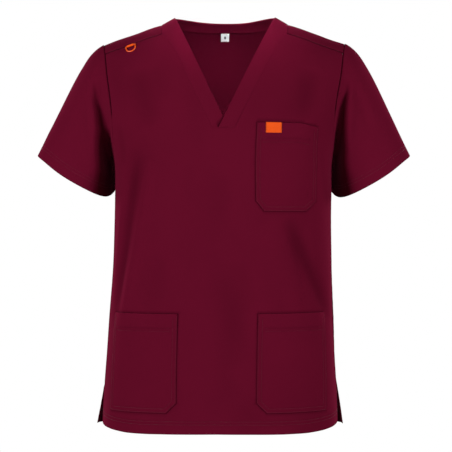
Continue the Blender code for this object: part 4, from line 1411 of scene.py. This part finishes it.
def build_tag():
    """Ribbon folded over the chest pocket's mouth, with a leaf in front and one tucked inside."""
    pocket = pocket_lines(CHEST_POCKET)["outline"]
    corners = place_all(TAG)
    mouth, low = corners[:2, 1].mean(), corners[2:, 1].mean()
    left, right, low_right, low_left = corners[:, 0]
    columns = np.concatenate([[0, 0.03, 0.08], np.linspace(0.15, 0.85, 9), [0.92, 0.97, 1]])
    across = left + (right - left) * columns
    stand = mouth_stand(np.stack([across, np.full(len(across), mouth)], axis=1), pocket)
    front = POCKET_BASE + POCKET_CLOTH + POCKET_HEM + RIBBON_GAP + RIBBON / 2
    inside_leaf = POCKET_BASE - RIBBON_GAP - RIBBON / 2
    middle, reach = (front + inside_leaf) / 2, (front - inside_leaf) / 2
    bend = np.linspace(0, math.pi, 9)
    ups = np.concatenate([np.linspace(low, mouth, 14)[:-1], mouth + TAG_BEND * np.sin(bend),
                          np.linspace(mouth, mouth - TAG_TUCK, 8)[1:]])
    heights = np.concatenate([np.full(13, front), middle + reach * np.cos(bend),
                              np.full(7, inside_leaf)])
    run = runs_of(np.stack([ups, heights], axis=1))
    grid, flat = [], []
    for up, height, along in zip(ups, heights, run):
        down = min((mouth - up) / (mouth - low), 1) if up < mouth else 0
        ends = left + (low_left - left) * down, right + (low_right - right) * down
        here = np.stack([ends[0] + (ends[1] - ends[0]) * columns, np.full(len(across), up)], axis=1)
        lift = mouth_stand(here, pocket) if up < mouth else stand
        points, normal = torso(*here.T)
        grid.append(points + normal * (height + lift)[:, None])
        flat.append(np.stack([across, np.full(len(across), along)], axis=1))
    grid, flat = np.array(grid), np.array(flat)
    made = woven("tag_ribbon", grid, grid_normals(grid), RIBBON, flat, border=0.7)
    leaf = np.array([(left, mouth), (right, mouth), (low_right, low), (low_left, low)])
    stitched = inset(leaf, TAG_ROW)
    sides = [stitched[[3, 2]], stitched[[0, 3]], stitched[[1, 2]]]

    def on_tag(run):
        return front + mouth_stand(run, pocket) + RIBBON / 2 - 0.05 * MM

    sewn = sew("tag_stitching", on_surface(sides, on_tag))
    sewn.data.materials[0] = once("ribbon_thread", ribbon_thread)
    width, length = float(right - left), float(run[-1])
    finish_cloth(made, "pocket_tag", cut=(width, length))


def hinge_frame():
    """The joint's place, and the bar's, the downhill and the outward directions there."""
    joint = frame["joints"][0]
    along = unit(-np.array(joint["axis"], float))
    _, normal = torso(*place(*RING_AT))
    normal = unit(normal - along * (normal @ along))
    down = np.cross(along, normal)
    if down[2] > 0:
        down = -down
    return np.array(joint["pos_m"], float), along, down, normal


def build_keeper():
    """A ribbon folded round the ring's bar, both its ends caught in the shoulder seam."""
    origin, along, down, normal = hinge_frame()
    turn = np.radians(np.linspace(-75, 150, 25))
    under = table("down out", [(-5.6, -2.45), (-4.0, -2.4), (-2.2, -2.1), (-1.0, -1.75)])
    back = table("down out", [(-2.6, -0.2), (-3.9, -1.2), (-5.6, -1.85)])
    line = np.vstack([np.stack(list(under.values()), axis=1) * MM,
                      np.stack([np.cos(turn), np.sin(turn)], axis=1) * KEEPER_LOOP,
                      np.stack(list(back.values()), axis=1) * MM])
    line = path(line, 0.35 * MM)
    columns = np.concatenate([[-1, -0.93, -0.8], np.linspace(-0.6, 0.6, 7), [0.8, 0.93, 1]])
    columns = columns * KEEPER_HALF
    grid = (origin + along * columns[None, :, None] + down * line[:, None, :1]
            + normal * line[:, None, 1:])
    run = runs_of(line)
    flat = np.stack(np.meshgrid(columns, run), axis=-1)
    facing = grid_normals(grid)
    if np.sum(facing[0, 0] * normal) > 0:
        facing = -facing
    made = woven("keeper_ribbon", grid, facing, KEEPER_RIBBON, flat, border=0)
    fix_normals(made)
    finish_cloth(made, "ring_keeper", cut=(2 * KEEPER_HALF, float(run[-1])))


def fix_normals(made):
    """Turns a closed piece's faces outward."""
    points = np.array([v.co for v in made.data.vertices])
    made.data.calc_loop_triangles()
    corners = points[np.array([t.vertices for t in made.data.loop_triangles])]
    volume = np.sum(corners[:, 0] * np.cross(corners[:, 1], corners[:, 2])) / 6
    if volume < 0:
        made.data.flip_normals()


def build_label():
    """White label sewn under the band at the back of the neck."""
    top = SEAM["band_back"][-1][1] + LABEL_DROP[0]
    low = top + LABEL_DROP[1]
    left, right = LABEL_CENTRE - LABEL_HALF, LABEL_CENTRE + LABEL_HALF
    outline = path([(left, low), (left, top), (right, top), (right, low)], 1.5 * MM, closed=True)[:-1]
    flat, faces = fill(outline, grid=LABEL_GRID)
    edge = distance(flat, [closed(outline)])
    high = -CLOTH / 2 - RIBBON_GAP
    cloth = Layers(flat, high - LABEL_CLOTH * (0.4 + 0.6 * rounded(edge, 0.7 * MM)), high)
    made = cloth.on_torso("neck_label", faces, once("woven_label", label))
    rows = [np.array([(left + 1.2 * MM, y), (right - 1.2 * MM, y)])
            for y in (top + 1.1 * MM, low - 1.1 * MM)]
    lines = [(points, -out) for points, out in on_surface(rows, high - LABEL_CLOTH - 0.05 * MM)]
    sewn = sew("label_stitching", lines)
    finish_cloth(made, "size_label", outline)


# ---------------------------------------------------------------- badge ring

def choose(made, test):
    """Selects, in edit mode, the points that pass a test of their place."""
    bpy.ops.mesh.select_all(action="DESELECT")
    bpy.ops.object.mode_set(mode="OBJECT")
    for vertex in made.data.vertices:
        vertex.select = bool(test(vertex.co))
    bpy.ops.object.mode_set(mode="EDIT")


def build_ring():
    """A D: a straight bar, two rounded corners and a full bow, in round wire."""
    origin, along, down, normal = hinge_frame()
    bpy.ops.object.select_all(action="DESELECT")
    bpy.ops.mesh.primitive_plane_add(size=2 * RING_BAR_HALF)
    made = bpy.context.object
    made.name = made.data.name = "ring_wire"
    bpy.ops.object.mode_set(mode="EDIT")
    bpy.ops.mesh.select_mode(type="VERT")
    bpy.ops.mesh.select_all(action="SELECT")
    bpy.ops.mesh.delete(type="ONLY_FACE")
    choose(made, lambda co: co.y < 0)
    bpy.ops.transform.translate(value=(0, RING_BAR_HALF, 0))
    choose(made, lambda co: co.y > RING_BAR_HALF / 2)
    bpy.ops.transform.translate(value=(0, RING_DROP - RING_BAR_HALF, 0))
    bpy.ops.mesh.bevel(offset=RING_BEND, segments=10, affect="VERTICES")
    choose(made, lambda co: abs(co.y) < 1e-6)
    bpy.ops.mesh.bevel(offset=RING_CORNER, segments=5, affect="VERTICES")
    bpy.ops.object.mode_set(mode="OBJECT")
    bpy.ops.object.convert(target="CURVE")
    made = bpy.context.object
    made.data.bevel_depth = RING_WIRE
    made.data.bevel_resolution = 4
    bpy.ops.object.convert(target="MESH")
    made = bpy.context.object
    tilt = down * math.cos(RING_REST) - normal * math.sin(RING_REST)
    matrix = np.eye(4)
    matrix[:3, :3] = np.stack([along, tilt, np.cross(along, tilt)], axis=1)
    matrix[:3, 3] = origin
    made.matrix_world = Matrix(matrix.tolist())
    bpy.ops.object.transform_apply(location=True, rotation=True, scale=True)
    fix_normals(made)
    made.data.shade_smooth()
    made.data.materials.clear()
    made.data.materials.append(once("moulded_plastic", moulded))
    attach(made, "ring")
    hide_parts("badge_ring")


# ---------------------------------------------------------------- stage

def area_light(name, place_at, target, size, power, spread):
    """A round soft light, aimed at a target and out of the camera's sight."""
    light = bpy.data.lights.new(name, "AREA")
    light.shape, light.size, light.energy, light.spread = "DISK", size, power, math.radians(spread)
    made = bpy.data.objects.new(name, light)
    made.location = place_at
    made.rotation_euler = (Vector(target) - Vector(place_at)).to_track_quat("-Z", "Y").to_euler()
    made.visible_camera = False
    bpy.context.scene.collection.objects.link(made)


def build_camera():
    """A level camera in front, with a long lens."""
    camera = bpy.data.cameras.new("camera")
    camera.sensor_width, camera.lens = 36, CAMERA_LENS
    view = bpy.data.objects.new("camera", camera)
    view.location = CAMERA_AT
    view.rotation_euler = (math.pi / 2, 0, 0)
    bpy.context.scene.collection.objects.link(view)
    bpy.context.scene.camera = view


def build_floor():
    """A wide pale plane, far below the hem."""
    bpy.ops.object.select_all(action="DESELECT")
    bpy.ops.mesh.primitive_plane_add(size=FLOOR_SIZE, location=(0, 0, FLOOR_Z))
    floor = bpy.context.object
    floor.name = "floor"
    # It shows, but throws no light up under the cloth
    floor.visible_diffuse = False
    pale = Recipe("pale_floor", Roughness=0.9, Specular_IOR_Level=0.1, Emission_Strength=0.4,
                  Emission_Color=(1, 1, 1, 1))
    tone = pale.blend(pale.noise(pale.object_place(), 3), (0.86, 0.86, 0.86, 1), (0.9, 0.9, 0.9, 1))
    floor.data.materials.append(pale.feed(Base_Color=tone))


def build_backdrop():
    """A white world, which gives the top only a small part of that as light."""
    world = bpy.data.worlds.new("studio")
    world.use_nodes = True
    backdrop = world.node_tree.nodes["Background"]
    backdrop.inputs["Color"].default_value = (1, 1, 1, 1)
    ray = world.node_tree.nodes.new("ShaderNodeLightPath")
    level = world.node_tree.nodes.new("ShaderNodeMapRange")
    level.inputs["To Min"].default_value = WORLD_LIGHT
    level.inputs["To Max"].default_value = 1.0
    world.node_tree.links.new(ray.outputs["Is Camera Ray"], level.inputs["Value"])
    world.node_tree.links.new(level.outputs["Result"], backdrop.inputs["Strength"])
    bpy.context.scene.world = world


def build_stage():
    build_camera()
    build_floor()
    build_backdrop()
    for light in LIGHTS:
        area_light(*light)
    settings = bpy.context.scene.view_settings
    settings.view_transform, settings.look = "Standard", "None"


# ---------------------------------------------------------------- operators and panel

class SCRUBTOP_OT_front(bpy.types.Operator):
    """Cut and sew the front panel, with its hem and vents"""
    bl_idname, bl_label = "scrubtop.front", "Front panel"

    def execute(self, context):
        build_front()
        return {"FINISHED"}


class SCRUBTOP_OT_back(bpy.types.Operator):
    """Cut and sew the back panel, which comes forward over the shoulders"""
    bl_idname, bl_label = "scrubtop.back", "Back panel"

    def execute(self, context):
        build_back()
        return {"FINISHED"}


class SCRUBTOP_OT_neckband(bpy.types.Operator):
    """Fold the neckband and lap its ends at the V"""
    bl_idname, bl_label = "scrubtop.neckband", "Neckband"

    def execute(self, context):
        build_neckband()
        return {"FINISHED"}


class SCRUBTOP_OT_sleeves(bpy.types.Operator):
    """Set in both sleeves and turn up their hems"""
    bl_idname, bl_label = "scrubtop.sleeves", "Sleeves"

    def execute(self, context):
        build_sleeve("sleeve_right", -1)
        build_sleeve("sleeve_left", 1)
        return {"FINISHED"}


class SCRUBTOP_OT_pockets(bpy.types.Operator):
    """Sew on the chest pocket and the two lower pockets"""
    bl_idname, bl_label = "scrubtop.pockets", "Pockets"

    def execute(self, context):
        build_pocket("chest_pocket", CHEST_POCKET, False, CHEST_BAND)
        build_pocket("lower_pocket_left", LOWER_POCKET, False, LOWER_BAND)
        build_pocket("lower_pocket_right", LOWER_POCKET, True, LOWER_BAND)
        return {"FINISHED"}


class SCRUBTOP_OT_ribbons(bpy.types.Operator):
    """Add the pocket tag, the ring's keeper and the neck label"""
    bl_idname, bl_label = "scrubtop.ribbons", "Ribbons and label"

    def execute(self, context):
        build_tag()
        build_keeper()
        build_label()
        return {"FINISHED"}


class SCRUBTOP_OT_ring(bpy.types.Operator):
    """Bend the badge ring round its keeper"""
    bl_idname, bl_label = "scrubtop.ring", "Badge ring"

    def execute(self, context):
        build_ring()
        return {"FINISHED"}


class SCRUBTOP_OT_stage(bpy.types.Operator):
    """Set up the floor, the soft lights and the camera"""
    bl_idname, bl_label = "scrubtop.stage", "Stage"

    def execute(self, context):
        build_stage()
        return {"FINISHED"}


OPERATORS = (SCRUBTOP_OT_stage, SCRUBTOP_OT_front, SCRUBTOP_OT_back, SCRUBTOP_OT_neckband,
             SCRUBTOP_OT_sleeves, SCRUBTOP_OT_pockets, SCRUBTOP_OT_ribbons, SCRUBTOP_OT_ring)


class SCRUBTOP_PT_panel(bpy.types.Panel):
    bl_idname, bl_label = "SCRUBTOP_PT_panel", "Scrub top"
    bl_space_type, bl_region_type, bl_category = "VIEW_3D", "UI", "Scrub top"

    def draw(self, context):
        for group in (context.scene.scrub_top_sizes, context.scene.scrub_top_colours):
            for key in group.__annotations__:
                self.layout.prop(group, key)
        for operator in OPERATORS:
            self.layout.operator(operator.bl_idname)


CLASSES = (ScrubTopSizes, ScrubTopColours, *OPERATORS, SCRUBTOP_PT_panel)


def register():
    for made in CLASSES:
        bpy.utils.register_class(made)
    bpy.types.Scene.scrub_top_sizes = PointerProperty(type=ScrubTopSizes)
    bpy.types.Scene.scrub_top_colours = PointerProperty(type=ScrubTopColours)


def unregister():
    del bpy.types.Scene.scrub_top_colours
    del bpy.types.Scene.scrub_top_sizes
    for made in reversed(CLASSES):
        bpy.utils.unregister_class(made)


def main():
    register()
    for operator in OPERATORS:
        group, name = operator.bl_idname.split(".")
        getattr(getattr(bpy.ops, group), name)()
    bpy.context.view_layer.update()


if __name__ == "__main__":
    main()
